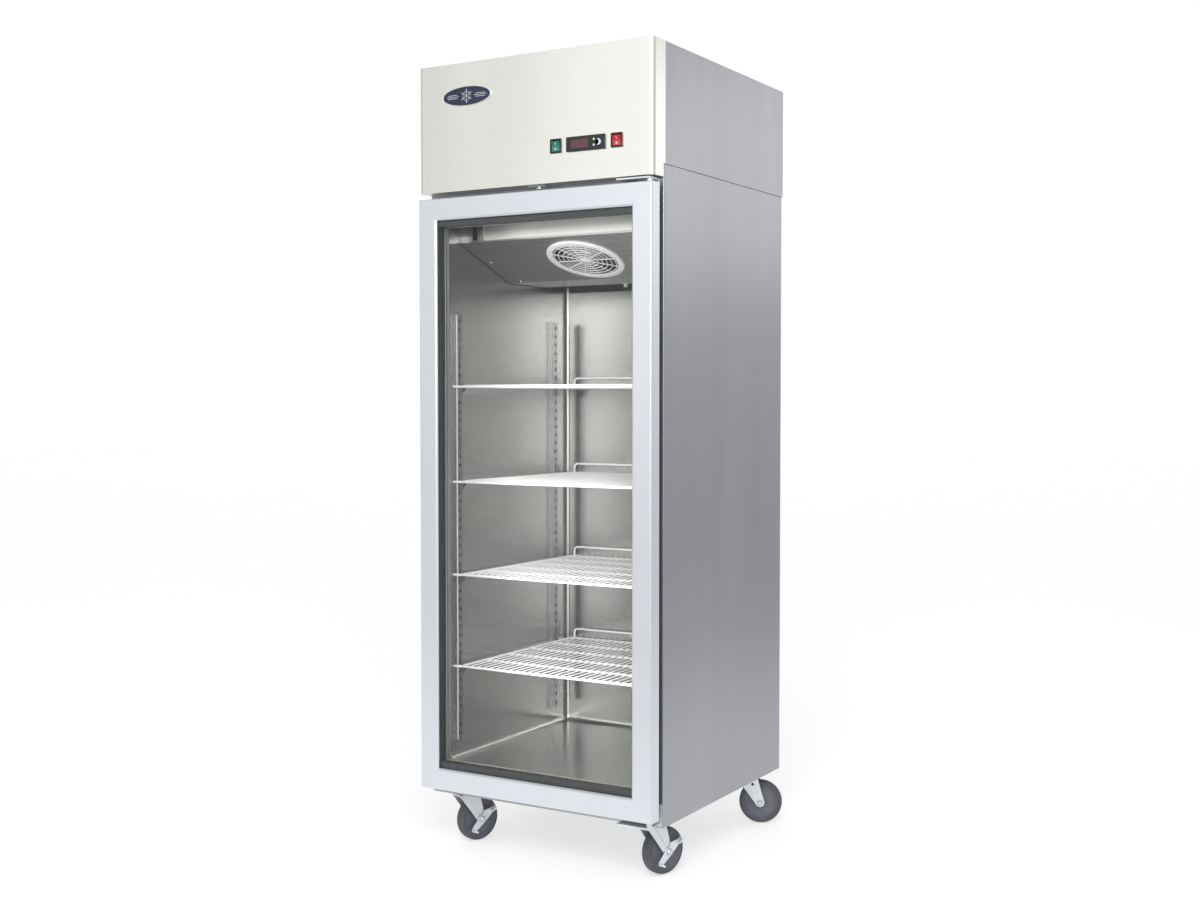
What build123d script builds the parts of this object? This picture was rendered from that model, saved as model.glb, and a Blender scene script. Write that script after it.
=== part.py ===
"""One-section reach-in refrigerator with a glass door, a top-mounted condensing unit and casters.

Millimetres, +Z up. The origin is on the floor under the middle of the machine: X runs to the
right, Y runs from the door (front, -Y) to the rear panel (+Y).
"""
import os
from math import cos, radians, sin, tan

from build123d import *

os.makedirs("parts", exist_ok=True)

# ---- driving dimensions -------------------------------------------------------------------
HALF_W = 365.0            # cabinet half width
Y_FRONT = -399.0          # front of the door
Y_REAR = 399.0            # rear of the machine housing
CASTER_H = 150.0          # floor to cabinet bottom
SEAM = 1839.3             # joint between the insulated cabinet and the machine housing
TOP = 2148.0
SHEET = 1.2               # outer sheet metal
GAP = 0.1                 # assembly gap between fixed pieces

CAB_FRONT = Y_FRONT + 60.3
CAB_BACK = Y_REAR - 8.5
HEADER_FRONT = Y_FRONT + 6.2
HEADER_BACK = Y_FRONT + 68.6
HEADER_LOW = 1806.5

DOOR_HALF_W = 363.2
DOOR_LOW = 174.0
DOOR_HIGH = 1790.3
DOOR_T = 41.0
DOOR_BACK = Y_FRONT + DOOR_T
STILE_W = 58.8            # visible width of the door frame
REBATE_W = 47.0           # width of the frame behind the glass
GLASS_Y = Y_FRONT + 8.0   # front of the outer pane
GLASS_T = 4.0
GLASS_GAP = 16.0
HINGE_X = 346.0
HINGE_Y = Y_FRONT + 22.0

IN_HALF_W = 311.0         # storage space
IN_FLOOR = 244.0
IN_CEILING = 1735.0
IN_BACK = 278.5
LINER_T = 0.8
FOAM_FRONT = CAB_FRONT + 8.2

SHELF_LEVELS = (503.5, 759.0, 1017.5, 1281.5)
SHELF_HALF_W = 291.0
SHELF_FRONT = -316.0
SHELF_BACK = 272.0
PILASTER_Y = (-300.0, 198.0)
PILASTER_LOW = 294.0
PILASTER_HIGH = 1482.0
PILASTER_DEPTH = 12.0
SLOT_PITCH = 25.0

WHEEL_R = 62.5
WHEEL_W = 32.0
TRAIL = 38.0              # wheel centre behind the swivel axis
CASTERS = {               # name: (x, y, direction the caster trails in degrees, has a brake)
    "front_left": (-298.0, -277.0, 70.0, True),
    "front_right": (298.0, -277.0, 70.0, True),
    "rear_left": (-298.0, 314.0, 160.0, False),
    "rear_right": (298.0, 314.0, 20.0, False),
}


# ---- helpers ------------------------------------------------------------------------------
def block(x, y, z, mode=Mode.ADD):
    """Add or cut a box given by its low and high value on each axis."""
    with Locations(((x[0] + x[1]) / 2, (y[0] + y[1]) / 2, (z[0] + z[1]) / 2)):
        Box(x[1] - x[0], y[1] - y[0], z[1] - z[0], mode=mode)


def front_plane(y, x=0.0, z=0.0):
    """Plane that faces the front: its local axes are X and Z, and extrusions go towards -Y."""
    return Plane(origin=(x, y, z), x_dir=(1, 0, 0), z_dir=(0, -1, 0))


def side_plane(x, y=0.0, z=0.0):
    """Plane that faces +X: its local axes are Y and Z."""
    return Plane(origin=(x, y, z), x_dir=(0, 1, 0), z_dir=(1, 0, 0))


def mitred_bar(side, half_w, low, high, depth, y, inset=0.0, mode=Mode.ADD):
    """One mitred bar of a rectangular frame in the XZ plane, from y[0] to y[1].

    half_w, low and high are the outer outline, depth is (outer, inner) distance from it.
    """
    outer, inner = depth
    a, b = half_w - outer, half_w - inner
    low_a, low_b = low + outer, low + inner
    high_a, high_b = high - outer, high - inner
    cut = inset
    corners = {
        "left": [(-a, low_a + cut), (-b, low_b + cut), (-b, high_b - cut), (-a, high_a - cut)],
        "right": [(a, low_a + cut), (b, low_b + cut), (b, high_b - cut), (a, high_a - cut)],
        "bottom": [(-a + cut, low_a), (a - cut, low_a), (b - cut, low_b), (-b + cut, low_b)],
        "top": [(-a + cut, high_a), (a - cut, high_a), (b - cut, high_b), (-b + cut, high_b)],
    }[side]
    with BuildSketch(front_plane(y[1])) as outline:
        with BuildLine():
            Polyline(*corners, close=True)
        make_face()
    extrude(outline.sketch, amount=y[1] - y[0], mode=mode)


def write(piece, name):
    """Label a finished piece and write it as its own STEP file."""
    piece.part.label = name
    export_step(piece.part, f"parts/{name}.step")


# ---- insulated cabinet --------------------------------------------------------------------
with BuildPart() as side_panels:
    block((-HALF_W, -HALF_W + SHEET), (CAB_FRONT, CAB_BACK), (CASTER_H, SEAM))
    block((-HALF_W, -330.0), (CAB_FRONT, CAB_FRONT + SHEET), (CASTER_H, SEAM))
    front_corner = side_panels.edges().filter_by(Axis.Z).group_by(Axis.Y)[0].sort_by(Axis.X)[0]
    fillet(front_corner, radius=2.4)
    mirror(about=Plane.YZ)
write(side_panels, "side_panels")

INSIDE = HALF_W - SHEET - GAP

with BuildPart() as back_panel:
    block((-INSIDE, INSIDE), (CAB_BACK - SHEET, CAB_BACK), (CASTER_H, SEAM))
write(back_panel, "back_panel")

with BuildPart() as base_and_deck_panels:
    floor_y = (CAB_FRONT + SHEET + GAP, CAB_BACK - SHEET - GAP)
    block((-INSIDE, INSIDE), floor_y, (CASTER_H, CASTER_H + 1.5))
    block((-INSIDE, INSIDE), floor_y, (SEAM - SHEET, SEAM + 0.6))
write(base_and_deck_panels, "base_and_deck_panels")

with BuildPart() as front_rails:
    block((-329.9, 329.9), (CAB_FRONT, CAB_FRONT + SHEET), (CASTER_H, IN_FLOOR - 22.0))
    block((-329.9, 329.9), (CAB_FRONT, CAB_FRONT + SHEET), (IN_CEILING + 22.0, SEAM))
write(front_rails, "front_rails")

FOAM_IN = IN_HALF_W + LINER_T + GAP
with BuildPart() as insulation:
    foam_y = (FOAM_FRONT, CAB_BACK - SHEET - GAP)
    foam_z = (CASTER_H + 1.6, SEAM - SHEET - GAP)
    inner_y = (FOAM_FRONT, IN_BACK + LINER_T + GAP)
    for side in (-1, 1):
        block(sorted((side * (FOAM_IN + GAP), side * INSIDE)), foam_y, foam_z)
    block((-FOAM_IN, FOAM_IN), (inner_y[1] + GAP, foam_y[1]), foam_z)
    block((-FOAM_IN, FOAM_IN), inner_y, (foam_z[0], IN_FLOOR - LINER_T - GAP))
    block((-FOAM_IN, FOAM_IN), inner_y, (IN_CEILING + LINER_T + GAP, foam_z[1]))
write(insulation, "insulation")

COVE = 14.0
with BuildPart() as inner_liner:
    block(
        (-IN_HALF_W - LINER_T, IN_HALF_W + LINER_T),
        (FOAM_FRONT, IN_BACK + LINER_T),
        (IN_FLOOR - LINER_T, IN_CEILING + LINER_T),
    )
    rear_edges = inner_liner.edges().filter_by(Axis.Z).group_by(Axis.Y)[-1]
    floor_sides = inner_liner.edges().filter_by(Axis.Y).group_by(Axis.Z)[0]
    floor_rear = inner_liner.edges().filter_by(Axis.X).group_by(Axis.Z)[0].sort_by(Axis.Y)[-1]
    fillet([*rear_edges, *floor_sides, floor_rear], radius=COVE)
    offset(amount=-LINER_T, openings=inner_liner.faces().sort_by(Axis.Y)[0])
write(inner_liner, "inner_liner")

with BuildPart() as breaker_frame:
    for side in ("left", "right", "bottom", "top"):
        outline = (329.8, IN_FLOOR - 21.9, IN_CEILING + 21.9)
        mitred_bar(side, *outline, (0, 18.8), (CAB_FRONT, FOAM_FRONT - GAP), GAP)
write(breaker_frame, "breaker_frame")

# ---- machine housing ----------------------------------------------------------------------
HOUSING_FRONT = HEADER_BACK + 0.8
HOUSING_LOW = SEAM + 1.2
with BuildPart() as upper_side_panels:
    block((-HALF_W, -HALF_W + SHEET), (HOUSING_FRONT, Y_REAR), (HOUSING_LOW, TOP))
    block((-HALF_W, -HALF_W + 22.0), (HOUSING_FRONT, HOUSING_FRONT + SHEET), (HOUSING_LOW, TOP))
    mirror(about=Plane.YZ)
write(upper_side_panels, "upper_side_panels")

LOUVRE_ROWS = 9
GLAND_X, GLAND_Z = -260.0, 1890.0
GLAND_R = 12.0
with BuildPart() as upper_rear_panel:
    block((-INSIDE, INSIDE), (Y_REAR - SHEET, Y_REAR), (HOUSING_LOW, TOP - SHEET - GAP))
    with BuildSketch(front_plane(Y_REAR, x=40.0, z=2020.0)):
        with GridLocations(190.0, 18.0, 2, LOUVRE_ROWS):
            SlotOverall(160.0, 7.0)
    extrude(amount=2 * SHEET, both=True, mode=Mode.SUBTRACT)
    with BuildSketch(front_plane(Y_REAR, GLAND_X, GLAND_Z)):
        Circle(GLAND_R + GAP)
    extrude(amount=2 * SHEET, both=True, mode=Mode.SUBTRACT)
write(upper_rear_panel, "upper_rear_panel")

with BuildPart() as top_cover:
    block((-INSIDE, INSIDE), (HOUSING_FRONT + SHEET + GAP, Y_REAR), (TOP - SHEET, TOP))
    with BuildSketch(Plane((0, 40.0, TOP))):
        with GridLocations(200.0, 26.0, 3, 8):
            SlotOverall(170.0, 9.0)
    extrude(amount=2 * SHEET, both=True, mode=Mode.SUBTRACT)
write(top_cover, "top_cover")

# ---- hinged header panel and its controls -------------------------------------------------
CONTROL_Z = 1900.0
ROCKER_X = {"power_rocker": 78.0, "light_rocker": 260.0}
CONTROLLER_X = (110.5, 227.0)
CONTROLLER_H = 38.0
BUTTON_PLACES = {"up_button": (194.0, 1907.5), "down_button": (194.0, 1893.0)}
SET_BUTTON_X = 207.0
BEZEL_FRONT = HEADER_FRONT - 4.0
HEADER_T = 1.5

with BuildPart() as header_panel:
    for shrink, mode in ((0.0, Mode.ADD), (HEADER_T, Mode.SUBTRACT)):
        back = HEADER_BACK + 2 * shrink
        with BuildSketch(Plane.XY.offset(HEADER_LOW + shrink)):
            with Locations((0, (HEADER_FRONT + shrink + back) / 2)):
                outline = Rectangle(2 * (HALF_W - shrink), back - HEADER_FRONT - shrink)
            fillet(outline.vertices().group_by(Axis.Y)[0], radius=12.0 - shrink)
        extrude(amount=TOP - HEADER_LOW - 2 * shrink, mode=mode)
    block((-HALF_W - 1, HALF_W + 1), (CAB_FRONT - 0.5, HEADER_BACK + 1), (HEADER_LOW - 1, HOUSING_LOW),
          Mode.SUBTRACT)
    with BuildSketch(front_plane(HEADER_FRONT)):
        with Locations(((CONTROLLER_X[0] + CONTROLLER_X[1]) / 2, CONTROL_Z)):
            Rectangle(CONTROLLER_X[1] - CONTROLLER_X[0] - 10.0, 31.0)
        for centre in ROCKER_X.values():
            with Locations((centre, CONTROL_Z)):
                Rectangle(29.2, 33.2)
    extrude(amount=3 * HEADER_T, both=True, mode=Mode.SUBTRACT)
write(header_panel, "header_panel")

ROCKER_W = 24.0
ROCKER_H = 27.0
with BuildPart() as control_housings:
    centre_x = (CONTROLLER_X[0] + CONTROLLER_X[1]) / 2
    width = CONTROLLER_X[1] - CONTROLLER_X[0]
    with BuildSketch(front_plane(HEADER_FRONT, centre_x, CONTROL_Z)):
        RectangleRounded(width, CONTROLLER_H, 3.0)
    extrude(amount=4.0)
    with BuildSketch(front_plane(HEADER_FRONT, centre_x, CONTROL_Z)):
        Rectangle(width - 10.6, 30.6)
    extrude(amount=-44.0)
    block((CONTROLLER_X[0] + 8, CONTROLLER_X[1] - 8), (BEZEL_FRONT + 4.4, HEADER_FRONT + 41.0),
          (CONTROL_Z - 13.0, CONTROL_Z + 13.0), Mode.SUBTRACT)
    block((124.0, 176.0), (BEZEL_FRONT - 1, BEZEL_FRONT + 1.4), (CONTROL_Z - 11.6, CONTROL_Z + 11.6),
          Mode.SUBTRACT)
    with BuildSketch(front_plane(BEZEL_FRONT)):
        for place in BUTTON_PLACES.values():
            with Locations(place):
                Circle(3.2)
        with Locations((SET_BUTTON_X, CONTROL_Z)):
            Circle(8.3)
    extrude(amount=-6.0, mode=Mode.SUBTRACT)
    for centre in ROCKER_X.values():
        with BuildSketch(front_plane(HEADER_FRONT, centre, CONTROL_Z)):
            RectangleRounded(34.0, 37.0, 2.0)
        extrude(amount=3.4)
        with BuildSketch(front_plane(HEADER_FRONT, centre, CONTROL_Z)):
            Rectangle(28.8, 32.8)
        extrude(amount=-26.0)
        with BuildSketch(front_plane(HEADER_FRONT - 5.0, centre, CONTROL_Z)):
            Rectangle(ROCKER_W + 0.8, 30.4)
        extrude(amount=-28.0, mode=Mode.SUBTRACT)
write(control_housings, "control_housings")

with BuildPart() as display_window:
    block((124.2, 175.8), (BEZEL_FRONT + 0.2, BEZEL_FRONT + 1.3), (CONTROL_Z - 11.4, CONTROL_Z + 11.4))
write(display_window, "display_window")

BADGE_X, BADGE_Z = -204.5, 2058.0
with BuildPart() as badge:
    with BuildSketch(front_plane(HEADER_FRONT - GAP, BADGE_X, BADGE_Z)):
        Ellipse(80.5, 26.0)
    extrude(amount=2.4)
    chamfer(badge.faces().sort_by(Axis.Y)[0].edges(), length=0.9)
write(badge, "badge")

ROCKER_PIVOT_Y = HEADER_FRONT + 2.0
ROCKER_TILT = 7.0
for name, centre in ROCKER_X.items():
    tilt = radians(ROCKER_TILT)
    inward = (0, cos(tilt), sin(tilt))
    pivot = Plane(origin=(centre, ROCKER_PIVOT_Y, CONTROL_Z), x_dir=inward, z_dir=(1, 0, 0))
    with BuildPart() as rocker:
        with BuildSketch(pivot):
            with BuildLine():
                Polyline((-6.4, -ROCKER_H / 2), (-4.6, 0), (-6.4, ROCKER_H / 2), (4.0, 10.0), (4.0, -10.0),
                         close=True)
            make_face()
        extrude(amount=ROCKER_W / 2, both=True)
        fillet(rocker.edges().filter_by(Axis.X).group_by(Axis.Y)[0], radius=0.6)
    write(rocker, name)

for name, (x, z) in BUTTON_PLACES.items():
    with BuildPart() as button:
        with BuildSketch(front_plane(BEZEL_FRONT + 5.6, x, z)):
            Circle(2.9)
        extrude(amount=6.8)
        fillet(button.faces().sort_by(Axis.Y)[0].edges(), radius=0.6)
    write(button, name)

with BuildPart() as set_button:
    with BuildSketch(front_plane(BEZEL_FRONT + 5.6, SET_BUTTON_X, CONTROL_Z)):
        Circle(8.0)
        with Locations((-5.0, 0)):
            Circle(7.0, mode=Mode.SUBTRACT)
    extrude(amount=6.8)
write(set_button, "set_button")

LATCH_Z = HEADER_LOW - 0.6
with BuildPart() as header_latch:
    block((-18.0, 35.0), (CAB_FRONT - 40.0, CAB_FRONT - GAP), (LATCH_Z - 2.4, LATCH_Z))
    block((-18.0, 35.0), (CAB_FRONT - 2.4, CAB_FRONT - GAP), (1793.0, LATCH_Z))
    with BuildSketch(Plane((8.5, CAB_FRONT - 24.0, LATCH_Z - 2.4))):
        Circle(8.0)
    extrude(amount=-6.0)
write(header_latch, "header_latch")

# ---- door ---------------------------------------------------------------------------------
WALL = 2.0
HANDLE_Z = (930.0, 1191.0)


def door_bar(side):
    """Hollow mitred frame bar with a glazing rebate behind the visible face."""
    outline = (DOOR_HALF_W, DOOR_LOW, DOOR_HIGH)
    mitred_bar(side, *outline, (0, STILE_W), (Y_FRONT, GLASS_Y - GAP), 0.05)
    mitred_bar(side, *outline, (0, REBATE_W), (GLASS_Y - GAP, DOOR_BACK), 0.05)
    hollow_y = (Y_FRONT + WALL, DOOR_BACK - WALL)
    mitred_bar(side, *outline, (WALL, REBATE_W - WALL), hollow_y, -1.0, Mode.SUBTRACT)


with BuildPart() as door_stiles:
    door_bar("left")
    door_bar("right")
    upright = door_stiles.edges().filter_by(Axis.Z).group_by(Axis.Y)[0]
    outer = upright.sort_by(lambda edge: abs(edge.center().X))
    fillet(outer[-2:], radius=5.0)
    chamfer(outer[:2], length=4.5)
    block((-DOOR_HALF_W - 1, -DOOR_HALF_W + WALL + 1), (Y_FRONT + 8.0, Y_FRONT + 32.0), HANDLE_Z,
          Mode.SUBTRACT)
write(door_stiles, "door_stiles")

with BuildPart() as door_rails:
    door_bar("bottom")
    door_bar("top")
    level = door_rails.edges().filter_by(Axis.X).group_by(Axis.Y)[0].sort_by(Axis.Z)
    chamfer(level[1:3], length=4.5)
    fillet([level[0], level[-1]], radius=3.0)
    for z in (DOOR_LOW, DOOR_HIGH):
        with BuildSketch(Plane((HINGE_X, HINGE_Y, z))):
            Circle(9.1)
        extrude(amount=8.2, both=True, mode=Mode.SUBTRACT)
write(door_rails, "door_rails")

PIN_R = 5.0
BUSH_H = 8.0
with BuildPart() as hinge_bushes:
    for z in (DOOR_LOW + 0.1, DOOR_HIGH - 0.1 - BUSH_H):
        with BuildSketch(Plane((HINGE_X, HINGE_Y, z))):
            Circle(9.0)
            Circle(PIN_R + 0.06, mode=Mode.SUBTRACT)
        extrude(amount=BUSH_H)
write(hinge_bushes, "hinge_bushes")

PANE_HALF_W = DOOR_HALF_W - REBATE_W - 0.5
PANE_Z = (DOOR_LOW + REBATE_W + 0.5, DOOR_HIGH - REBATE_W - 0.5)
INNER_PANE_Y = GLASS_Y + GLASS_T + GLASS_GAP
with BuildPart() as glass_panes:
    for y in (GLASS_Y, INNER_PANE_Y):
        block((-PANE_HALF_W, PANE_HALF_W), (y, y + GLASS_T), PANE_Z)
write(glass_panes, "glass_panes")


def glazing_bars(inner_half_w, inner_z, y):
    """Four butt-jointed bars around the edge of the panes."""
    for side in (-1, 1):
        block(sorted((side * inner_half_w, side * PANE_HALF_W)), y, PANE_Z)
    block((-inner_half_w + GAP, inner_half_w - GAP), y, (PANE_Z[0], inner_z[0]))
    block((-inner_half_w + GAP, inner_half_w - GAP), y, (inner_z[1], PANE_Z[1]))


OPENING_Z = (DOOR_LOW + STILE_W, DOOR_HIGH - STILE_W)
BORDER = 17.0             # dark border above and below the glass
with BuildPart() as glass_spacer:
    glazing_bars(DOOR_HALF_W - STILE_W, (OPENING_Z[0] + BORDER, OPENING_Z[1] - BORDER),
                 (GLASS_Y + GLASS_T + GAP, INNER_PANE_Y - GAP))
write(glass_spacer, "glass_spacer")

with BuildPart() as glass_retainer:
    glazing_bars(DOOR_HALF_W - STILE_W - 1.0, (OPENING_Z[0] + BORDER - 1.0, OPENING_Z[1] - BORDER + 1.0),
                 (INNER_PANE_Y + GLASS_T + GAP, DOOR_BACK - 0.2))
write(glass_retainer, "glass_retainer")

with BuildPart() as door_gasket:
    for side in ("left", "right", "bottom", "top"):
        mitred_bar(side, 338.0, 217.0, 1762.0, (0, 20), (DOOR_BACK + 0.2, CAB_FRONT - 0.5), GAP)
write(door_gasket, "door_gasket")

CUP_DEPTH = 17.0
CUP_T = 1.5
with BuildPart() as door_handle:
    cup_end = -DOOR_HALF_W + CUP_DEPTH
    cup_z = (HANDLE_Z[0] + 0.2, HANDLE_Z[1] - 0.2)
    block((-HALF_W, -DOOR_HALF_W - GAP), (Y_FRONT + 5.5, Y_FRONT + 34.5), (HANDLE_Z[0] - 4, HANDLE_Z[1] + 4))
    block((-DOOR_HALF_W - 1, cup_end), (Y_FRONT + 8.2, Y_FRONT + 31.8), cup_z)
    block((-HALF_W - 1, cup_end - CUP_T), (Y_FRONT + 8.2 + CUP_T, Y_FRONT + 31.8 - CUP_T),
          (cup_z[0] + CUP_T, cup_z[1] - CUP_T), Mode.SUBTRACT)
write(door_handle, "door_handle")

with BuildPart() as hinge_brackets:
    block((255.0, 352.0), (HINGE_Y - 12.0, CAB_FRONT - GAP), (155.0, 160.0))
    block((318.0, 362.0), (CAB_FRONT - 3.0, CAB_FRONT - GAP), (155.0, 212.0))
    block((255.0, 352.0), (HINGE_Y - 12.0, CAB_FRONT - GAP), (1799.5, 1804.0))
    block((290.0, 352.0), (CAB_FRONT - 3.0, CAB_FRONT - GAP), (1768.0, 1804.0))
    for start, door_edge, towards_door in ((158.0, DOOR_LOW, 1), (1802.0, DOOR_HIGH, -1)):
        shoulder = door_edge - towards_door * 0.6
        tip = door_edge + towards_door * 7.4
        for radius, end in ((8.0, shoulder), (PIN_R, tip)):
            with BuildSketch(Plane((HINGE_X, HINGE_Y, start))):
                Circle(radius)
            extrude(amount=end - start)
write(hinge_brackets, "hinge_brackets")

# ---- interior fittings --------------------------------------------------------------------
PILASTER_IN = IN_HALF_W - PILASTER_DEPTH
SLOT_COUNT = int((PILASTER_HIGH - PILASTER_LOW) / SLOT_PITCH)
with BuildPart() as shelf_pilasters:
    for y in PILASTER_Y:
        block((-IN_HALF_W + GAP, -PILASTER_IN), (y - 12.5, y + 12.5), (PILASTER_LOW, PILASTER_HIGH))
        block((-IN_HALF_W, -PILASTER_IN - 1.2), (y - 11.3, y + 11.3), (PILASTER_LOW - 1, PILASTER_HIGH + 1),
              Mode.SUBTRACT)
        with BuildSketch(side_plane(-PILASTER_IN, y, (PILASTER_LOW + PILASTER_HIGH) / 2)):
            with GridLocations(1.0, SLOT_PITCH, 1, SLOT_COUNT):
                Rectangle(6.0, 9.0)
        extrude(amount=2.0, both=True, mode=Mode.SUBTRACT)
    mirror(about=Plane.YZ)
write(shelf_pilasters, "shelf_pilasters")

SHELF_WIRE_R = 3.5
CLIP_REACH = 22.0
with BuildPart() as shelf_clips:
    for level in SHELF_LEVELS:
        for y in PILASTER_Y:
            clip_top = level - SHELF_WIRE_R - GAP
            wall = -PILASTER_IN + GAP
            with BuildSketch(front_plane(y + 1.5)):
                with BuildLine():
                    Polyline((wall, clip_top), (wall + CLIP_REACH, clip_top),
                             (wall + CLIP_REACH, clip_top - 4), (wall + 2.5, clip_top - 24),
                             (wall, clip_top - 24), close=True)
                make_face()
            extrude(amount=3.0)
            block((wall, wall + 2.4), (y - 1.2, y + 1.2), (clip_top - 1, clip_top + 30))
    mirror(about=Plane.YZ)
write(shelf_clips, "shelf_clips")

WIRE_COUNT = 27
WIRE_PITCH = 21.0
STOP_Z = 30.0


# one wire shelf at height zero: rim, cross wires, close top wires and a separate rear stop rail
RIM_X = SHELF_HALF_W - SHELF_WIRE_R
RIM_Y = (SHELF_FRONT + SHELF_WIRE_R, SHELF_BACK - SHELF_WIRE_R)
RIM_LENGTH = RIM_Y[1] - RIM_Y[0]
RIM_MIDDLE = (RIM_Y[0] + RIM_Y[1]) / 2
CROSS_WIRES = 4
STOP_X = RIM_X - 14.0
STOP_Y = RIM_Y[1] - 3.0
with BuildPart() as wire_shelf:
    for y in RIM_Y:
        with Locations((0, y, 0)):
            Cylinder(SHELF_WIRE_R, 2 * RIM_X, rotation=(0, 90, 0))
    for x in (-RIM_X, RIM_X):
        with Locations((x, RIM_MIDDLE, 0)):
            Cylinder(SHELF_WIRE_R, RIM_LENGTH, rotation=(90, 0, 0))
        with Locations((x, RIM_Y[0], 0), (x, RIM_Y[1], 0)):
            Sphere(SHELF_WIRE_R)
    for step in range(1, CROSS_WIRES + 1):
        with Locations((0, RIM_Y[0] + step * RIM_LENGTH / (CROSS_WIRES + 1), 0)):
            Cylinder(3.0, 2 * RIM_X, rotation=(0, 90, 0))
    for index in range(WIRE_COUNT):
        with Locations(((index - (WIRE_COUNT - 1) / 2) * WIRE_PITCH, RIM_MIDDLE, 3.8)):
            Cylinder(1.8, RIM_LENGTH, rotation=(90, 0, 0))
    with BuildLine(front_plane(STOP_Y)):
        stop = FilletPolyline((-STOP_X, 6.0), (-STOP_X, STOP_Z), (STOP_X, STOP_Z), (STOP_X, 6.0), radius=12.0)
    with BuildSketch(Plane((-STOP_X, STOP_Y, 6.0))):
        Circle(3.0)
    sweep(path=stop)

for number, level in enumerate(SHELF_LEVELS, 1):
    with BuildPart() as shelf:
        with Locations((0, 0, level)):
            add(wire_shelf.part)
    write(shelf, f"shelf_{number}")

# ---- evaporator and interior light --------------------------------------------------------
COVER_T = 1.2
COVER_FRONT = (-281.5, 1681.0)
COVER_BEND = (-38.5, 1586.0)
COVER_END = 150.0
COVER_ANGLE = 21.36       # fall of the sloping face in degrees
FAN_AXIS = Plane(origin=(22.0, -153.9, 1631.1), x_dir=(1, 0, 0),
                 z_dir=(0, -sin(radians(COVER_ANGLE)), -cos(radians(COVER_ANGLE))))
with BuildPart() as evaporator_cover:
    (front_y, front_z), (bend_y, bend_z) = COVER_FRONT, COVER_BEND
    at_front = COVER_T * tan(radians(45 - COVER_ANGLE / 2))
    at_bend = COVER_T * tan(radians(COVER_ANGLE / 2))
    with BuildSketch(side_plane(-IN_HALF_W + 0.4)):
        with BuildLine():
            Polyline((front_y, IN_CEILING - 0.3), (front_y, front_z), (bend_y, bend_z),
                     (COVER_END, bend_z), (COVER_END, bend_z + 15), (COVER_END - COVER_T, bend_z + 15),
                     (COVER_END - COVER_T, bend_z + COVER_T), (bend_y + at_bend, bend_z + COVER_T),
                     (front_y + COVER_T, front_z + at_front), (front_y + COVER_T, IN_CEILING - 0.3),
                     close=True)
        make_face()
    extrude(amount=2 * IN_HALF_W - 0.8)
    with BuildSketch(FAN_AXIS):
        Circle(98.0)
    extrude(amount=10.0, both=True, mode=Mode.SUBTRACT)
    block((-267.0, -252.0), (front_y - 2, front_y + 3), (front_z + 5, IN_CEILING - 8), Mode.SUBTRACT)
write(evaporator_cover, "evaporator_cover")

GUARD_R = 109.5
with BuildPart() as fan_guard:
    with BuildSketch(FAN_AXIS.offset(GAP)):
        Circle(GUARD_R)
        Circle(92.0, mode=Mode.SUBTRACT)
    extrude(amount=5.0)
    fillet(fan_guard.edges().group_by(Axis.Z)[0], radius=1.5)
    with BuildSketch(FAN_AXIS.offset(2.0)):
        for radius in (24.0, 37.0, 50.0, 63.0, 76.0, 89.0):
            Circle(radius + 1.1)
            Circle(radius - 1.1, mode=Mode.SUBTRACT)
        with PolarLocations(0, 12):
            Rectangle(93.0, 2.6, align=(Align.MIN, Align.CENTER))
        Circle(14.0)
    extrude(amount=3.0)
write(fan_guard, "fan_guard")


def axial_fan(axis, radius, hub_r, bore_r, blades, pitch, width):
    """Axial fan whose hub is centred on the plane and turns about its normal."""
    with BuildPart(axis) as fan:
        Cylinder(hub_r, width * 0.8)
        with PolarLocations((radius + hub_r) / 2 - 1.5, blades):
            Box(radius - hub_r - 1, width, 1.6, rotation=(pitch, 0, 0))
        Cylinder(bore_r, 4 * width, mode=Mode.SUBTRACT)
    return fan


EVAP_FAN_PLANE = FAN_AXIS.offset(-24.0)
CONDENSER_FAN = Plane(origin=(110.0, -196.0, 1990.0), x_dir=(1, 0, 0), z_dir=(0, -1, 0))
SHAFT_R = 4.0
write(axial_fan(EVAP_FAN_PLANE, 88.0, 24.0, SHAFT_R + 0.06, 5, 24.0, 40.0), "evaporator_fan")
write(axial_fan(CONDENSER_FAN, 108.0, 26.0, SHAFT_R + 0.06, 5, 24.0, 46.0), "condenser_fan")

with BuildPart() as fan_motors:
    with BuildSketch(EVAP_FAN_PLANE.offset(-24.0)):
        Circle(30.0)
    extrude(amount=-26.0)
    with BuildSketch(EVAP_FAN_PLANE.offset(-26.0)):
        Circle(SHAFT_R)
    extrude(amount=38.0)
    with BuildSketch(EVAP_FAN_PLANE.offset(-38.0)):
        Rectangle(236.0, 14.0)
    extrude(amount=3.0)
    with BuildSketch(CONDENSER_FAN.offset(-26.0)):
        Circle(38.0)
    extrude(amount=-50.0)
    with BuildSketch(CONDENSER_FAN.offset(-28.0)):
        Circle(SHAFT_R)
    extrude(amount=42.0)
    with BuildSketch(CONDENSER_FAN.offset(-46.0)):
        Rectangle(20.0, 300.0)
    extrude(amount=3.0)
write(fan_motors, "fan_motors")

with BuildPart() as evaporator_coil:
    block((-250.0, 250.0), (0.0, 130.0), (1600.0, 1716.0))
    for x in (-250.0, 250.0):
        for row in range(4):
            for column in range(3):
                with Locations((x, 27.0 + 38.0 * column, 1617.0 + 27.0 * row)):
                    Cylinder(5.0, 26.0, rotation=(0, 90, 0))
write(evaporator_coil, "evaporator_coil")

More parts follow.
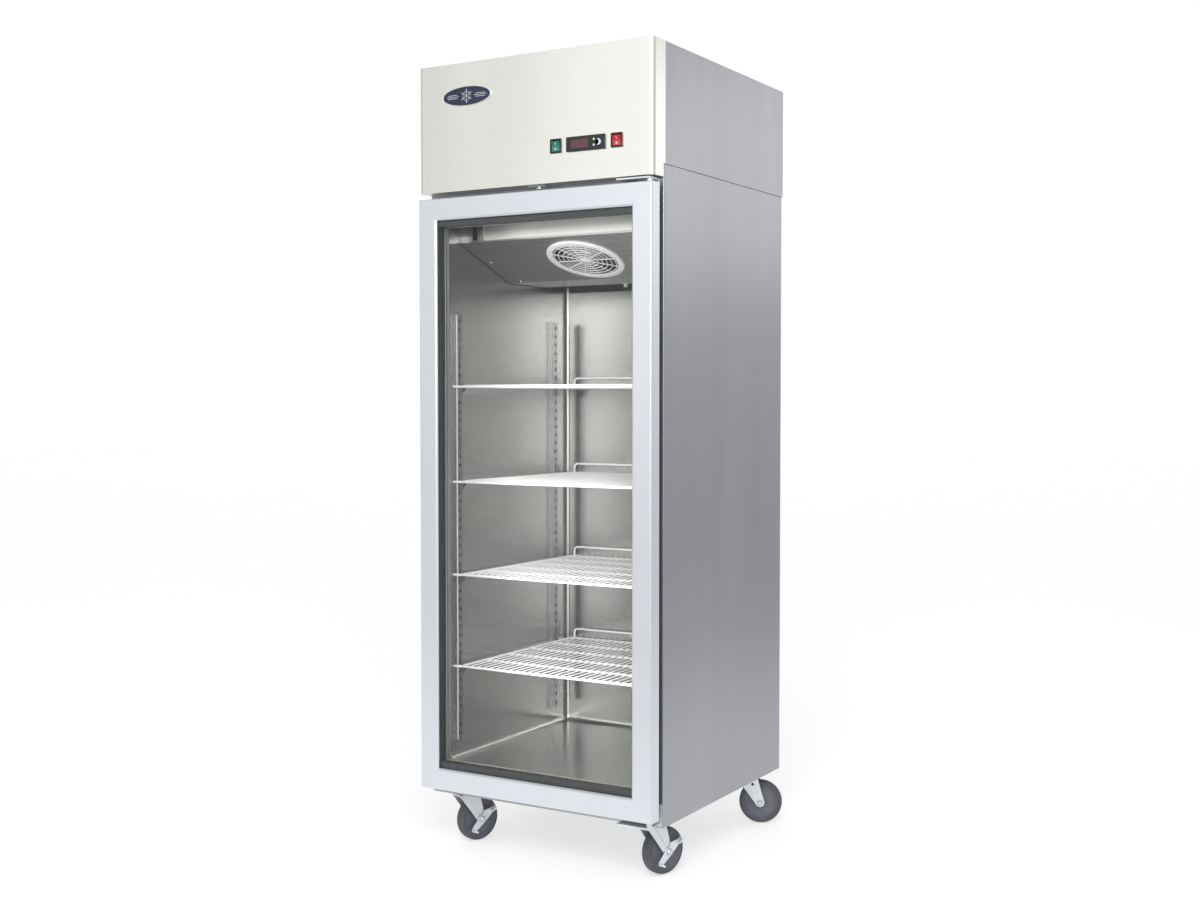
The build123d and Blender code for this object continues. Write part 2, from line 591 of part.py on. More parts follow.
LIGHT_X = (-216.0, 296.0)
with BuildPart() as interior_light:
    with BuildSketch(side_plane(LIGHT_X[0])):
        with BuildLine():
            flat = Line((COVER_FRONT[0] - GAP, 1683.5), (COVER_FRONT[0] - GAP, 1731.0))
            ThreePointArc(flat @ 0, (COVER_FRONT[0] - 19.0, 1704.0), flat @ 1)
        make_face()
    extrude(amount=LIGHT_X[1] - LIGHT_X[0])
write(interior_light, "interior_light")

# ---- condensing unit ----------------------------------------------------------------------
DECK = SEAM + 0.7
with BuildPart() as compressor:
    with BuildSketch(Plane((-190.0, 190.0, DECK + 18.0))):
        Ellipse(88.0, 74.0)
    extrude(amount=168.0)
    fillet(compressor.faces().sort_by(Axis.Z)[-1].edges(), radius=40.0)
    fillet(compressor.faces().sort_by(Axis.Z)[0].edges(), radius=16.0)
    block((-300.0, -80.0), (150.0, 230.0), (DECK + 14.0, DECK + 17.0))
    block((-250.0, -130.0), (160.0, 220.0), (DECK + 16.0, DECK + 24.0))
    for x in (-285.0, -95.0):
        for y in (162.0, 218.0):
            with BuildSketch(Plane((x, y, DECK))):
                Circle(9.0)
            extrude(amount=15.0)
write(compressor, "compressor")

with BuildPart() as condenser_coil:
    block((-40.0, 260.0), (-318.0, -262.0), (DECK + 20.0, 2130.0))
    for x in (-40.0, 260.0):
        for row in range(8):
            with Locations((x, -290.0, DECK + 40.0 + 32.0 * row)):
                Box(26.0, 36.0, 9.0)
write(condenser_coil, "condenser_coil")

with BuildPart() as fan_shroud:
    block((-40.0, 260.0), (-261.8, -176.0), (DECK, 2136.0))
    block((-38.5, 258.5), (-262.0, -178.0), (DECK + 1.5, 2134.5), Mode.SUBTRACT)
    with BuildSketch(CONDENSER_FAN):
        Circle(114.0)
    extrude(amount=40.0, both=True, mode=Mode.SUBTRACT)
write(fan_shroud, "fan_shroud")


def tube(points, radius, bend):
    """Round tube along straight runs joined by tangent arcs."""
    with BuildLine() as route:
        FilletPolyline(*points, radius=bend)
    with BuildSketch(Plane(origin=points[0], z_dir=Vector(*points[1]) - Vector(*points[0]))) as ring:
        Circle(radius)
    sweep(ring.sketch, path=route.line)


with BuildPart() as refrigerant_lines:
    # discharge line to the condenser, suction line from the coil, and liquid line to the drier
    tube([(-150, 258, 1935), (-150, 330, 1935), (-62, 330, 1935), (-62, -290, 1935)], 4.0, 24.0)
    tube([(-190, 265, 1965), (-190, 300, 1965), (-190, 300, 2040), (-330, 300, 2040), (-330, 300, 1842)],
         6.0, 16.0)
    tube([(-62, -290, 2060), (-110, -290, 2060), (-110, -290, 1930), (-110, -160, 1930)], 3.5, 20.0)
    with BuildSketch(Plane(origin=(-110, -160.5, 1930), z_dir=(0, 1, 0))):
        Circle(11.0)
    drier = extrude(amount=110.0)
    fillet(drier.edges().filter_by(GeomType.CIRCLE).group_by(Axis.Y)[-1], radius=5.0)
write(refrigerant_lines, "refrigerant_lines")

CORD_R = 4.5
with BuildPart() as electrical_box:
    block((-340.0, -190.0), (318.0, 384.0), (DECK, 1990.0))
    # cord gland: body through the rear panel and a flange behind it
    with BuildSketch(front_plane(Y_REAR, GLAND_X, GLAND_Z)):
        Circle(GLAND_R)
    extrude(amount=12.0)
    with BuildSketch(front_plane(Y_REAR - SHEET - GAP, GLAND_X, GLAND_Z)):
        Circle(GLAND_R + 4.0)
    extrude(amount=6.0)
    with BuildSketch(front_plane(Y_REAR, GLAND_X, GLAND_Z)):
        Circle(CORD_R)
    extrude(amount=12.0, mode=Mode.SUBTRACT)
write(electrical_box, "electrical_box")

with BuildPart() as condensate_tray:
    block((-350.0, -130.0), (-300.0, 60.0), (DECK, DECK + 45.0))
    block((-348.5, -131.5), (-298.5, 58.5), (DECK + 1.5, DECK + 46.0), Mode.SUBTRACT)
write(condensate_tray, "condensate_tray")

# ---- casters ------------------------------------------------------------------------------
PLATE = (70.0, 96.0, 3.0)
BOLT_GRID = (50.0, 76.0)
KINGPIN_R = 5.5
CROWN_TOP = CASTER_H - PLATE[2] - 0.6
CROWN_LOW = 134.0
CROWN_R = 31.0
LEG_Y = (20.0, 23.2)
LEVER_Y = (23.9, 27.3)
AXLE_R = 6.0


def swivel_plane(x, y, direction, height=0.0):
    """Plane on the swivel axis whose local X points the way the caster trails."""
    turn = radians(direction)
    return Plane(origin=(x, y, height), x_dir=(cos(turn), sin(turn), 0), z_dir=(0, 0, 1))


def corner_bolts():
    return GridLocations(BOLT_GRID[0], BOLT_GRID[1], 2, 2)


with BuildPart() as caster_plates:
    for x, y, direction, braked in CASTERS.values():
        with BuildSketch(Plane((x, y, CASTER_H - PLATE[2]))):
            RectangleRounded(PLATE[0], PLATE[1], 8.0)
            with corner_bolts():
                Circle(4.5, mode=Mode.SUBTRACT)
        extrude(amount=PLATE[2] - GAP)
        with BuildSketch(Plane((x, y, CASTER_H - 2.0))):
            Circle(KINGPIN_R)
        extrude(amount=-(CASTER_H - 2.0 - 128.0))
        with BuildSketch(Plane((x, y, CROWN_LOW - 0.6))):
            RegularPolygon(9.0, 6)
        extrude(amount=-4.6)
write(caster_plates, "caster_plates")

with BuildPart() as caster_bolts:
    for x, y, direction, braked in CASTERS.values():
        with BuildSketch(Plane((x, y, CASTER_H - PLATE[2] - GAP))):
            with corner_bolts():
                RegularPolygon(6.4, 6)
        extrude(amount=-4.4)
        with BuildSketch(Plane((x, y, CASTER_H - PLATE[2] - GAP))):
            with corner_bolts():
                Circle(4.0)
        extrude(amount=PLATE[2] - GAP)
write(caster_bolts, "caster_bolts")

for name, (x, y, direction, braked) in CASTERS.items():
    swivel = swivel_plane(x, y, direction)
    across = Plane(origin=swivel.origin, x_dir=swivel.x_dir, z_dir=-swivel.y_dir)
    axle = (TRAIL, WHEEL_R)

    with BuildPart() as caster_fork:
        with BuildSketch(swivel.offset(CROWN_LOW + 3.5)):
            Circle(CROWN_R)
        extrude(amount=CROWN_TOP - CROWN_LOW - 3.5)
        with BuildSketch(swivel.offset(CROWN_LOW)):
            Rectangle(62.0, 2 * LEG_Y[1])
        extrude(amount=3.6)
        for side in (-1, 1):
            low, high = sorted((side * LEG_Y[0], side * LEG_Y[1]))
            with BuildSketch(across.offset(low)):
                with Locations(axle):
                    Circle(13.0)
                with Locations((0.0, CROWN_LOW)):
                    Rectangle(62.0, 6.0)
                make_hull()
                with Locations(axle):
                    Circle(AXLE_R + 0.06, mode=Mode.SUBTRACT)
                if not braked:
                    with Locations((16.0, 116.0)):
                        Circle(4.0, mode=Mode.SUBTRACT)
            extrude(amount=high - low)
        with BuildSketch(swivel.offset(CROWN_LOW)):
            Circle(KINGPIN_R + 0.08)
        extrude(amount=30.0, both=True, mode=Mode.SUBTRACT)
        head_y = LEG_Y[1] + (5.0 if braked else 0.2)
        with BuildSketch(across.offset(-LEG_Y[1] - 1.0)):
            with Locations(axle):
                Circle(AXLE_R)
        extrude(amount=LEG_Y[1] + 1.0 + head_y + 1.0)
        with BuildSketch(across.offset(head_y)):
            with Locations(axle):
                RegularPolygon(9.5, 6)
        extrude(amount=5.0)
        with BuildSketch(across.offset(-LEG_Y[1] - 0.2)):
            with Locations(axle):
                RegularPolygon(9.5, 6)
        extrude(amount=-6.0)
    write(caster_fork, f"caster_fork_{name}")

    with BuildPart() as wheel:
        with BuildSketch(across.offset(-WHEEL_W / 2)):
            with Locations(axle):
                Circle(WHEEL_R)
        extrude(amount=WHEEL_W)
        fillet(wheel.edges().filter_by(GeomType.CIRCLE), radius=7.0)
        for side in (-1, 1):
            with BuildSketch(across.offset(side * WHEEL_W / 2)):
                with Locations(axle):
                    Circle(46.0)
                    Circle(19.0, mode=Mode.SUBTRACT)
            extrude(amount=-side * 4.0, mode=Mode.SUBTRACT)
        with BuildSketch(across.offset(-LEG_Y[0] + 0.6)):
            with Locations(axle):
                Circle(14.0)
        extrude(amount=2 * (LEG_Y[0] - 0.6))
        with BuildSketch(across.offset(-LEG_Y[1])):
            with Locations(axle):
                Circle(AXLE_R + 0.06)
        extrude(amount=2 * LEG_Y[1], mode=Mode.SUBTRACT)
    write(wheel, f"caster_wheel_{name}")

    if braked:
        with BuildPart() as brake_lever:
            for tip in ((TRAIL + 40.0, WHEEL_R + 27.0), (TRAIL - 33.0, WHEEL_R - 33.0)):
                with BuildSketch(across.offset(LEVER_Y[0])):
                    with Locations(axle):
                        Circle(12.5)
                    with Locations(tip):
                        Circle(5.0)
                    make_hull()
                extrude(amount=LEVER_Y[1] - LEVER_Y[0])
                with BuildSketch(across.offset(LEVER_Y[0])):
                    with Locations(tip):
                        Circle(5.0)
                extrude(amount=12.0)
            with BuildSketch(across.offset(LEVER_Y[0] - 1.0)):
                with Locations(axle):
                    Circle(AXLE_R + 0.06)
            extrude(amount=20.0, mode=Mode.SUBTRACT)
        write(brake_lever, f"brake_lever_{name}")
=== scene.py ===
"""Looks of the reach-in refrigerator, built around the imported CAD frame.

Everything is in metres, unless millimetres are named, in the machine's own frame: the origin is on the floor
under the middle, X runs to the right, the door is at -Y and Z is up. Pieces are either CAD nodes with a better
material, CAD nodes copied with rounded edges, or new meshes that stand for a CAD node.
"""
from math import asin, atan2, cos, pi, radians, sin, sqrt, tan

import bmesh
import bpy
from mathutils import Matrix, Vector


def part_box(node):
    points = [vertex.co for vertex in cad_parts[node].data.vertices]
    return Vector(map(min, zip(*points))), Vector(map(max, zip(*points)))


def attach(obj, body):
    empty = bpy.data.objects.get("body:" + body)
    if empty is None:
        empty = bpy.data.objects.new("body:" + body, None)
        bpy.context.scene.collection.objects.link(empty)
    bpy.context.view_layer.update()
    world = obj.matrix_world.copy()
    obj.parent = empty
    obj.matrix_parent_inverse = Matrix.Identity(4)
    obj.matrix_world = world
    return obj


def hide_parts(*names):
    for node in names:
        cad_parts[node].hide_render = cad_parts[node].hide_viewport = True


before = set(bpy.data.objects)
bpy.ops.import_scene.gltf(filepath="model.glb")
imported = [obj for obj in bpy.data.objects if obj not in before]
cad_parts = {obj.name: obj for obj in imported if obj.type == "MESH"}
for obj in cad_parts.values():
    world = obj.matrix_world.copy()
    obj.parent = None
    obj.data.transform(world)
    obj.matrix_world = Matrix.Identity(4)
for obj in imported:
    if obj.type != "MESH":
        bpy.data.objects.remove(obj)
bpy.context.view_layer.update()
MM = 0.001


def mm(*values):
    """Millimetre values as a tuple in metres."""
    return tuple(value * MM for value in values)


def mm_points(*points):
    """Millimetre points as a list in metres."""
    return [mm(*point) for point in points]


def shift(x, y, z):
    """Move by millimetres."""
    return Matrix.Translation(mm(x, y, z))


# ---- materials ----------------------------------------------------------------------------
def stretched_noise(material, scale, detail=3.0, roughness=0.6):
    """Factor of a noise on the object's own coordinates, with one scale or one for each axis."""
    nodes, links = material.node_tree.nodes, material.node_tree.links
    place = nodes.new("ShaderNodeTexCoord")
    mapping = nodes.new("ShaderNodeMapping")
    mapping.inputs["Scale"].default_value = scale if isinstance(scale, tuple) else (scale, scale, scale)
    texture = nodes.new("ShaderNodeTexNoise")
    texture.inputs["Scale"].default_value = 1.0
    texture.inputs["Detail"].default_value = detail
    texture.inputs["Roughness"].default_value = roughness
    links.new(place.outputs["Object"], mapping.inputs["Vector"])
    links.new(mapping.outputs["Vector"], texture.inputs["Vector"])
    return texture.outputs["Fac"]


def ranged(owner, factor, low, high, start=0.3, end=0.7):
    """Map a factor from start..end to low..high."""
    node = owner.node_tree.nodes.new("ShaderNodeMapRange")
    node.inputs["From Min"].default_value = start
    node.inputs["From Max"].default_value = end
    node.inputs["To Min"].default_value = low
    node.inputs["To Max"].default_value = high
    owner.node_tree.links.new(factor, node.inputs["Value"])
    return node.outputs["Result"]


def dot(owner, vector, axis):
    node = owner.node_tree.nodes.new("ShaderNodeVectorMath")
    node.operation = "DOT_PRODUCT"
    node.inputs[1].default_value = axis
    owner.node_tree.links.new(vector, node.inputs[0])
    return node.outputs["Value"]


def combined(owner, operation, first, second):
    """Both factors combined, or the second alone when there is no first."""
    if first is None:
        return second
    node = owner.node_tree.nodes.new("ShaderNodeMath")
    node.operation = operation
    owner.node_tree.links.new(first, node.inputs[0])
    owner.node_tree.links.new(second, node.inputs[1])
    return node.outputs["Value"]


def scaled_colour(material, colour, *factors):
    """The colour multiplied by each brightness factor in turn."""
    nodes, links = material.node_tree.nodes, material.node_tree.links
    result = None
    for factor in factors:
        node = nodes.new("ShaderNodeVectorMath")
        node.operation = "SCALE"
        if result is None:
            node.inputs[0].default_value = colour
        else:
            links.new(result, node.inputs[0])
        links.new(factor, node.inputs["Scale"])
        result = node.outputs["Vector"]
    return result


def surface(name, colour, metallic=0.0, roughness=0.5, grain=500, streak=0.04, cloud=0.03, cloud_scale=4,
            rough_spread=0.05, bump=0.15, bump_height=0.05, **sockets):
    """Material with fine grain and slow unevenness in colour, grain in roughness, and a fine bump.

    colour is in display values from 0 to 255. grain and cloud_scale are noise frequencies per metre, one for
    all axes or one for each, and bump_height is in millimetres.
    """
    material = bpy.data.materials.new(name)
    material.use_nodes = True
    tree = material.node_tree
    shader = tree.nodes["Principled BSDF"]
    shader.inputs["Metallic"].default_value = metallic
    for socket, value in sockets.items():
        shader.inputs[socket.replace("_", " ")].default_value = value
    fine = stretched_noise(material, grain)
    slow = stretched_noise(material, cloud_scale, 2.0, 0.5)
    tree.links.new(
        scaled_colour(material, linear(*colour), ranged(material, fine, 1 - streak, 1 + streak),
                      ranged(material, slow, 1 - cloud, 1 + cloud)),
        shader.inputs["Base Color"])
    tree.links.new(ranged(material, fine, roughness - rough_spread, roughness + rough_spread),
                   shader.inputs["Roughness"])
    ridge = tree.nodes.new("ShaderNodeBump")
    ridge.inputs["Strength"].default_value = bump
    ridge.inputs["Distance"].default_value = bump_height * MM
    tree.links.new(fine, ridge.inputs["Height"])
    tree.links.new(ridge.outputs["Normal"], shader.inputs["Normal"])
    return material


def linear(*rgb):
    """Linear colour from 0..255 display values."""
    return tuple((v / 255 / 12.92 if v <= 10 else ((v / 255 + 0.055) / 1.055) ** 2.4) for v in rgb)


VERTICAL = (700, 700, 9)
ALONG_X = (9, 700, 700)
M = {
    # The side steel is the same stainless as the header and door but much darker: painted shade for the sides
    # turned away from the light.
    "side": surface("side_steel_painted_shade", (159, 161, 165), 0.92, 0.34, VERTICAL, 0.035, 0.05, (7, 7, 0.8)),
    "header": surface("header_steel", (225, 225, 220), 0.92, 0.30, VERTICAL, 0.014, 0.03, (6, 6, 1),
                      bump=0.06),
    "door": surface("door_satin", (215, 219, 224), 0.8, 0.38, VERTICAL, 0.015, 0.015, (5, 5, 1)),
    "rail": surface("door_satin_across", (215, 219, 224), 0.8, 0.38, ALONG_X, 0.015, 0.015, (1, 5, 5)),
    "liner": surface("liner_steel", (180, 180, 178), 0.95, 0.22, (260, 12, 260), 0.03, 0.05, 3),
    "cover": surface("cover_steel", (172, 172, 171), 0.95, 0.30, ALONG_X, 0.03, 0.03, 3),
    "standard": surface("standard_steel", (160, 161, 160), 0.95, 0.25, VERTICAL),
    "galvanised": surface("galvanised_steel", (176, 180, 183), 0.85, 0.42, 60, 0.08, 0.05, 9, 0.08),
    "zinc": surface("zinc_plate", (212, 216, 219), 0.65, 0.36, 160, 0.05, 0.06, 20),
    "screw": surface("screw_steel", (200, 201, 203), 1.0, 0.24, 900, 0.03),
    "charcoal": surface("charcoal_trim", (58, 60, 61), 0.0, 0.48, 900, 0.06),
    "breaker": surface("breaker_plastic", (150, 152, 151), 0.0, 0.45, 700, 0.01),
    "lip": surface("trim_lip", (226, 226, 222), 0.5, 0.32, 700, 0.03),
    "seal": surface("seal_rubber", (46, 47, 50), 0.0, 0.72, 1500, 0.08),
    "black": surface("black_plastic", (22, 24, 26), 0.0, 0.34, 1600, 0.08),
    "key": surface("key_plastic", (196, 200, 212), 0.0, 0.3, 900, 0.02),
    "green": surface("green_rocker", (14, 104, 84), 0.0, 0.16, 500, 0.05,
                     Coat_Weight=0.6, Coat_Roughness=0.06),
    "red": surface("red_rocker", (170, 2, 34), 0.0, 0.16, 500, 0.05, Coat_Weight=0.6, Coat_Roughness=0.06),
    "mark": surface("rocker_mark", (228, 236, 232), 0.0, 0.4, 900, 0.02),
    "wire": surface("white_coating", (244, 244, 243), 0.0, 0.22, 350, 0.01, 0.01,
                    Coat_Weight=0.4, Coat_Roughness=0.1),
    "guard": surface("guard_plastic", (196, 197, 196), 0.0, 0.34, 900, 0.02),
    "wheel": surface("wheel_rubber", (88, 90, 99), 0.0, 0.5, 500, 0.09, 0.08, 30),
    "tread": surface("tread_rubber", (70, 71, 76), 0.0, 0.62, 900, 0.12, 0.1, 40),
    "fin": surface("fin_aluminium", (196, 198, 200), 0.9, 0.38, (200, 200, 900), 0.05),
    "blade": surface("blade_aluminium", (178, 180, 183), 0.9, 0.4, 300, 0.05),
    "copper": surface("copper_tube", (196, 122, 92), 1.0, 0.28, 90, 0.12, 0.08, 25),
    "enamel": surface("black_enamel", (26, 27, 28), 0.1, 0.3, 600, 0.1, Coat_Weight=0.5, Coat_Roughness=0.15),
    "sleeve": surface("foam_sleeve", (38, 38, 40), 0.0, 0.9, 900, 0.2, bump=0.6),
    "foam": surface("foam", (220, 208, 160), 0.0, 0.9, 600, 0.1, bump=0.7, bump_height=0.4),
    "badge": surface("badge_enamel", (14, 20, 52), 0.0, 0.3, 700, 0.05, Coat_Weight=0.3, Coat_Roughness=0.1),
    "silver": surface("badge_silver", (232, 234, 240), 0.8, 0.35, 900, 0.02),
}


def glass_material():
    """Clear pane: mostly see-through, with the sharp reflection and faint grey-green of float glass."""
    material = surface("door_glass", (126, 132, 132), 0.0, 0.04, 6, 0.01, 0.01, rough_spread=0.01, bump=0.0)
    material.node_tree.nodes["Principled BSDF"].inputs["Alpha"].default_value = 0.025
    material.surface_render_method = "BLENDED"
    return material


def digit_material():
    """Display segments, switched off or faintly lit."""
    material = surface("display_segments", (104, 12, 20), 0.0, 0.3, 900, 0.03)
    shader = material.node_tree.nodes["Principled BSDF"]
    shader.inputs["Emission Color"].default_value = (0.5, 0.01, 0.02, 1)
    shader.inputs["Emission Strength"].default_value = 0.12
    return material


def diffuser_material():
    """Opal diffuser that glows over its lower half, most at its lower edge, where the lamp lies."""
    material = surface("light_diffuser", (142, 142, 138), 0.0, 0.35, 900, 0.01)
    tree = material.node_tree
    shader = tree.nodes["Principled BSDF"]
    low, high = (corner.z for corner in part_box("interior_light"))
    place = tree.nodes.new("ShaderNodeTexCoord")
    split = tree.nodes.new("ShaderNodeSeparateXYZ")
    tree.links.new(place.outputs["Object"], split.inputs["Vector"])
    glow = ranged(material, split.outputs["Z"], 0.3, 0.0, low, (low + high) / 2)
    tree.links.new(glow, shader.inputs["Emission Strength"])
    shader.inputs["Emission Color"].default_value = (*linear(255, 254, 246), 1)
    return material


M["glass"] = glass_material()
M["display"] = surface("display_red", (46, 4, 10), 0.0, 0.1, 900, 0.05, Coat_Weight=1.0)
M["digit"] = digit_material()
M["diffuser"] = diffuser_material()


# ---- mesh making --------------------------------------------------------------------------
def new_object(name, data):
    made = bpy.data.objects.new(name, data)
    bpy.context.scene.collection.objects.link(made)
    return made


def mesh_from(bm, name="part"):
    mesh = bpy.data.meshes.new(name)
    bm.to_mesh(mesh)
    bm.free()
    return mesh


def bridge(bm, first, second):
    """Faces between two closed loops of as many points."""
    for i in range(len(first)):
        j = (i + 1) % len(first)
        bm.faces.new((first[i], first[j], second[j], second[i]))


def from_curve(curve, placing=Matrix()):
    """Mesh of a curve, put in place."""
    helper = new_object("helper", curve)
    helper.matrix_world = placing
    bpy.context.view_layer.update()
    graph = bpy.context.evaluated_depsgraph_get()
    mesh = bpy.data.meshes.new_from_object(helper.evaluated_get(graph))
    mesh.transform(placing)
    bpy.data.objects.remove(helper)
    bpy.data.curves.remove(curve)
    return mesh


def wires(runs, sides=3, cyclic=False):
    """Round wires. Each run is (points, radius)."""
    curve = bpy.data.curves.new("wires", "CURVE")
    curve.dimensions = "3D"
    curve.bevel_depth = 1.0
    curve.bevel_resolution = sides
    curve.use_fill_caps = not cyclic
    for points, radius in runs:
        spline = curve.splines.new("POLY")
        spline.points.add(len(points) - 1)
        for target, point in zip(spline.points, points):
            target.co = (*point, 1)
            target.radius = radius
        spline.use_cyclic_u = cyclic
    return from_curve(curve)


def plate(outlines, thickness, edge, placing, rounding=2):
    """Flat plate with rounded edges: the first outline is its rim and the others are holes.

    Its front face is on the placing's XY plane and it goes back along -Z.
    """
    curve = bpy.data.curves.new("plate", "CURVE")
    curve.dimensions = "2D"
    curve.fill_mode = "BOTH"
    curve.extrude = thickness / 2 - edge
    curve.bevel_depth = edge
    curve.bevel_resolution = rounding
    curve.offset = -edge
    for outline in outlines:
        spline = curve.splines.new("POLY")
        spline.points.add(len(outline) - 1)
        for target, (x, y) in zip(spline.points, outline):
            target.co = (x, y, 0, 1)
        spline.use_cyclic_u = True
    return from_curve(curve, placing @ Matrix.Translation((0, 0, -thickness / 2)))


def ring(radius, steps=32, centre=(0, 0), squash=1.0, start=0.0, sweep=2 * pi):
    """Points round a circle or an arc of it."""
    count = steps if abs(sweep - 2 * pi) < 1e-6 else steps + 1
    turn = sweep / steps
    return [(centre[0] + radius * cos(start + i * turn), centre[1] + squash * radius * sin(start + i * turn))
            for i in range(count)]


def hull(*discs, steps=12):
    """Outline, in metres, of the belt round discs given as (x, y, radius) in mm, in order round the belt."""
    points = []
    for i, (x, y, r) in enumerate(discs):
        previous, following = discs[i - 1], discs[(i + 1) % len(discs)]
        start = tangent_angle(previous, (x, y, r))
        end = tangent_angle((x, y, r), following)
        while end < start:
            end += 2 * pi
        points += ring(r, steps, (x, y), start=start, sweep=end - start)
    return mm_points(*points)


def tangent_angle(a, b):
    """Angle of the normal to the outer tangent that runs counter-clockwise from disc a to disc b."""
    dx, dy = b[0] - a[0], b[1] - a[1]
    return atan2(dy, dx) - pi / 2 + asin((a[2] - b[2]) / sqrt(dx * dx + dy * dy))


def rectangle(width, height, corner=0.0, centre=(0, 0), steps=6):
    if corner <= 0:
        x, y = width / 2, height / 2
        return [(centre[0] + a, centre[1] + b) for a, b in ((-x, -y), (x, -y), (x, y), (-x, y))]
    points = []
    for i, (sx, sy) in enumerate(((1, -1), (1, 1), (-1, 1), (-1, -1))):
        at = (centre[0] + sx * (width / 2 - corner), centre[1] + sy * (height / 2 - corner))
        points += ring(corner, steps, at, start=(i - 1) * pi / 2, sweep=pi / 2)
    return points


def lathe(profile, placing, steps=64, closed=False):
    """Solid of revolution of (radius, height) points about the placing's Z axis."""
    bm = bmesh.new()
    rings = []
    for r, h in profile:
        if r < 1e-7:
            rings.append([bm.verts.new((0, 0, h))])
        else:
            rings.append([bm.verts.new((*point, h)) for point in ring(r, steps)])
    for a, b in zip(rings, rings[1:] + (rings[:1] if closed else [])):
        for i in range(steps):
            j = (i + 1) % steps
            corners = list(dict.fromkeys([a[i % len(a)], a[j % len(a)], b[j % len(b)], b[i % len(b)]]))
            if len(corners) > 2:
                bm.faces.new(corners)
    bmesh.ops.recalc_face_normals(bm, faces=bm.faces)
    mesh = mesh_from(bm)
    mesh.transform(placing)
    return mesh


def frame_loop(profile, half_w, low, high):
    """Mitred rectangular frame in the XZ plane: profile points are (distance in from the outline, y)."""
    bm = bmesh.new()
    corners = ((-1, 0), (1, 0), (1, 1), (-1, 1))
    rings = []
    for inset, y in profile:
        levels = (low + inset, high - inset)
        rings.append([bm.verts.new((side * (half_w - inset), y, levels[top])) for side, top in corners])
    for a, b in zip(rings, rings[1:] + rings[:1]):
        bridge(bm, a, b)
    bmesh.ops.recalc_face_normals(bm, faces=bm.faces)
    return mesh_from(bm)


def cad_copy(node, edge=0.0):
    """Copy of a CAD node's mesh with its flat faces rejoined and its sharp edges rounded."""
    bm = bmesh.new()
    bm.from_mesh(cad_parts[node].data)
    bmesh.ops.remove_doubles(bm, verts=bm.verts, dist=1e-6)
    bmesh.ops.dissolve_limit(bm, angle_limit=radians(0.5), verts=bm.verts, edges=bm.edges)
    if edge:
        sharp = [e for e in bm.edges if len(e.link_faces) == 2 and e.calc_face_angle() > radians(32)]
        bmesh.ops.bevel(bm, geom=sharp, offset=edge, segments=2, profile=0.5, affect="EDGES",
                        clamp_overlap=True, loop_slide=True)
    return mesh_from(bm)


def piece(name, meshes, material, body, replaces=(), sharp=38):
    """Join meshes into one object that rides on a body."""
    bm = bmesh.new()
    for mesh in meshes:
        bm.from_mesh(mesh)
        bpy.data.meshes.remove(mesh)
    joined = mesh_from(bm, name)
    joined.materials.clear()
    joined.materials.append(M[material])
    for polygon in joined.polygons:
        polygon.material_index = 0
    joined.shade_smooth()
    joined.set_sharp_from_angle(angle=radians(sharp))
    made = new_object(name, joined)
    even = made.modifiers.new("even_shading", "WEIGHTED_NORMAL")
    even.keep_sharp = True
    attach(made, body)
    if replaces:
        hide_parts(*replaces)
    return made


def dress(material, *nodes):
    """Give CAD nodes a material."""
    for node in nodes:
        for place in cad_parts[node].material_slots:
            place.material = M[material]


def soften(material, body, slot, edge, *nodes, sharp=38):
    """Show a CAD node as a copy with rounded edges."""
    for node in nodes:
        piece(f"{node}_rounded", [cad_copy(node, edge * MM)], material, body, [node], sharp)


def facing(origin, normal, up=(0, 0, 1)):
    """Placing whose Z axis is the normal and whose Y axis is as near up as it can be."""
    z = Vector(normal).normalized()
    x = Vector(up).cross(z).normalized()
    y = z.cross(x)
    placing = Matrix((x, y, z)).transposed().to_4x4()
    placing.translation = Vector(origin)
    return placing


def pan_screw(origin, normal, radius=3.6 * MM, up=(0, 0, 1)):
    """Pan head screw with a cross recess, seated on a surface."""
    height = radius * 0.62
    rim = [(radius, 0), (radius, height * 0.35), (radius * 0.93, height * 0.65), (radius * 0.75, height * 0.88),
           (radius * 0.5, height)]
    bm = bmesh.new()
    steps = 24
    rings = [[bm.verts.new((*point, h)) for point in ring(r, steps)] for r, h in rim]
    cross, depth = [], height * 0.45
    arm, half = radius * 0.42, radius * 0.11
    for i in range(4):
        c, s = cos(i * pi / 2), sin(i * pi / 2)
        cross += [(arm * c - half * -s, arm * s - half * c), (arm * c + half * -s, arm * s + half * c),
                  (half * (c - s), half * (s + c))]
    top = [bm.verts.new((x, y, height)) for x, y in cross]
    floor = [bm.verts.new((x * 0.8, y * 0.8, height - depth)) for x, y in cross]
    for a, b in zip(rings, rings[1:]):
        bridge(bm, a, b)
    inner_edges = [bm.edges.get((rings[-1][i], rings[-1][(i + 1) % steps])) for i in range(steps)]
    cross_edges = [bm.edges.new((top[i], top[(i + 1) % 12])) for i in range(12)]
    bmesh.ops.triangle_fill(bm, edges=inner_edges + cross_edges, use_beauty=True)
    bridge(bm, top, floor)
    bm.faces.new(floor)
    bmesh.ops.recalc_face_normals(bm, faces=bm.faces)
    mesh = mesh_from(bm)
    mesh.transform(facing(origin, normal, up))
    return mesh


# ---- cabinet and machine housing ----------------------------------------------------------
def cabinet_shell():
    # Side panels and front rails take the darker side steel, which carries painted shade.
    soften("side", "cabinet", "outer_steel", 0.5, "side_panels", "upper_side_panels", "front_rails")
    soften("galvanised", "cabinet", "galvanised_steel", 0.4, "back_panel", "top_cover", "upper_rear_panel",
           "base_and_deck_panels")
    soften("breaker", "cabinet", "grey_plastic", 1.2, "breaker_frame")
    soften("zinc", "cabinet", "zinc_steel", 0.5, "header_latch", "hinge_brackets")
    dress("foam", "insulation")
    dress("liner", "inner_liner")


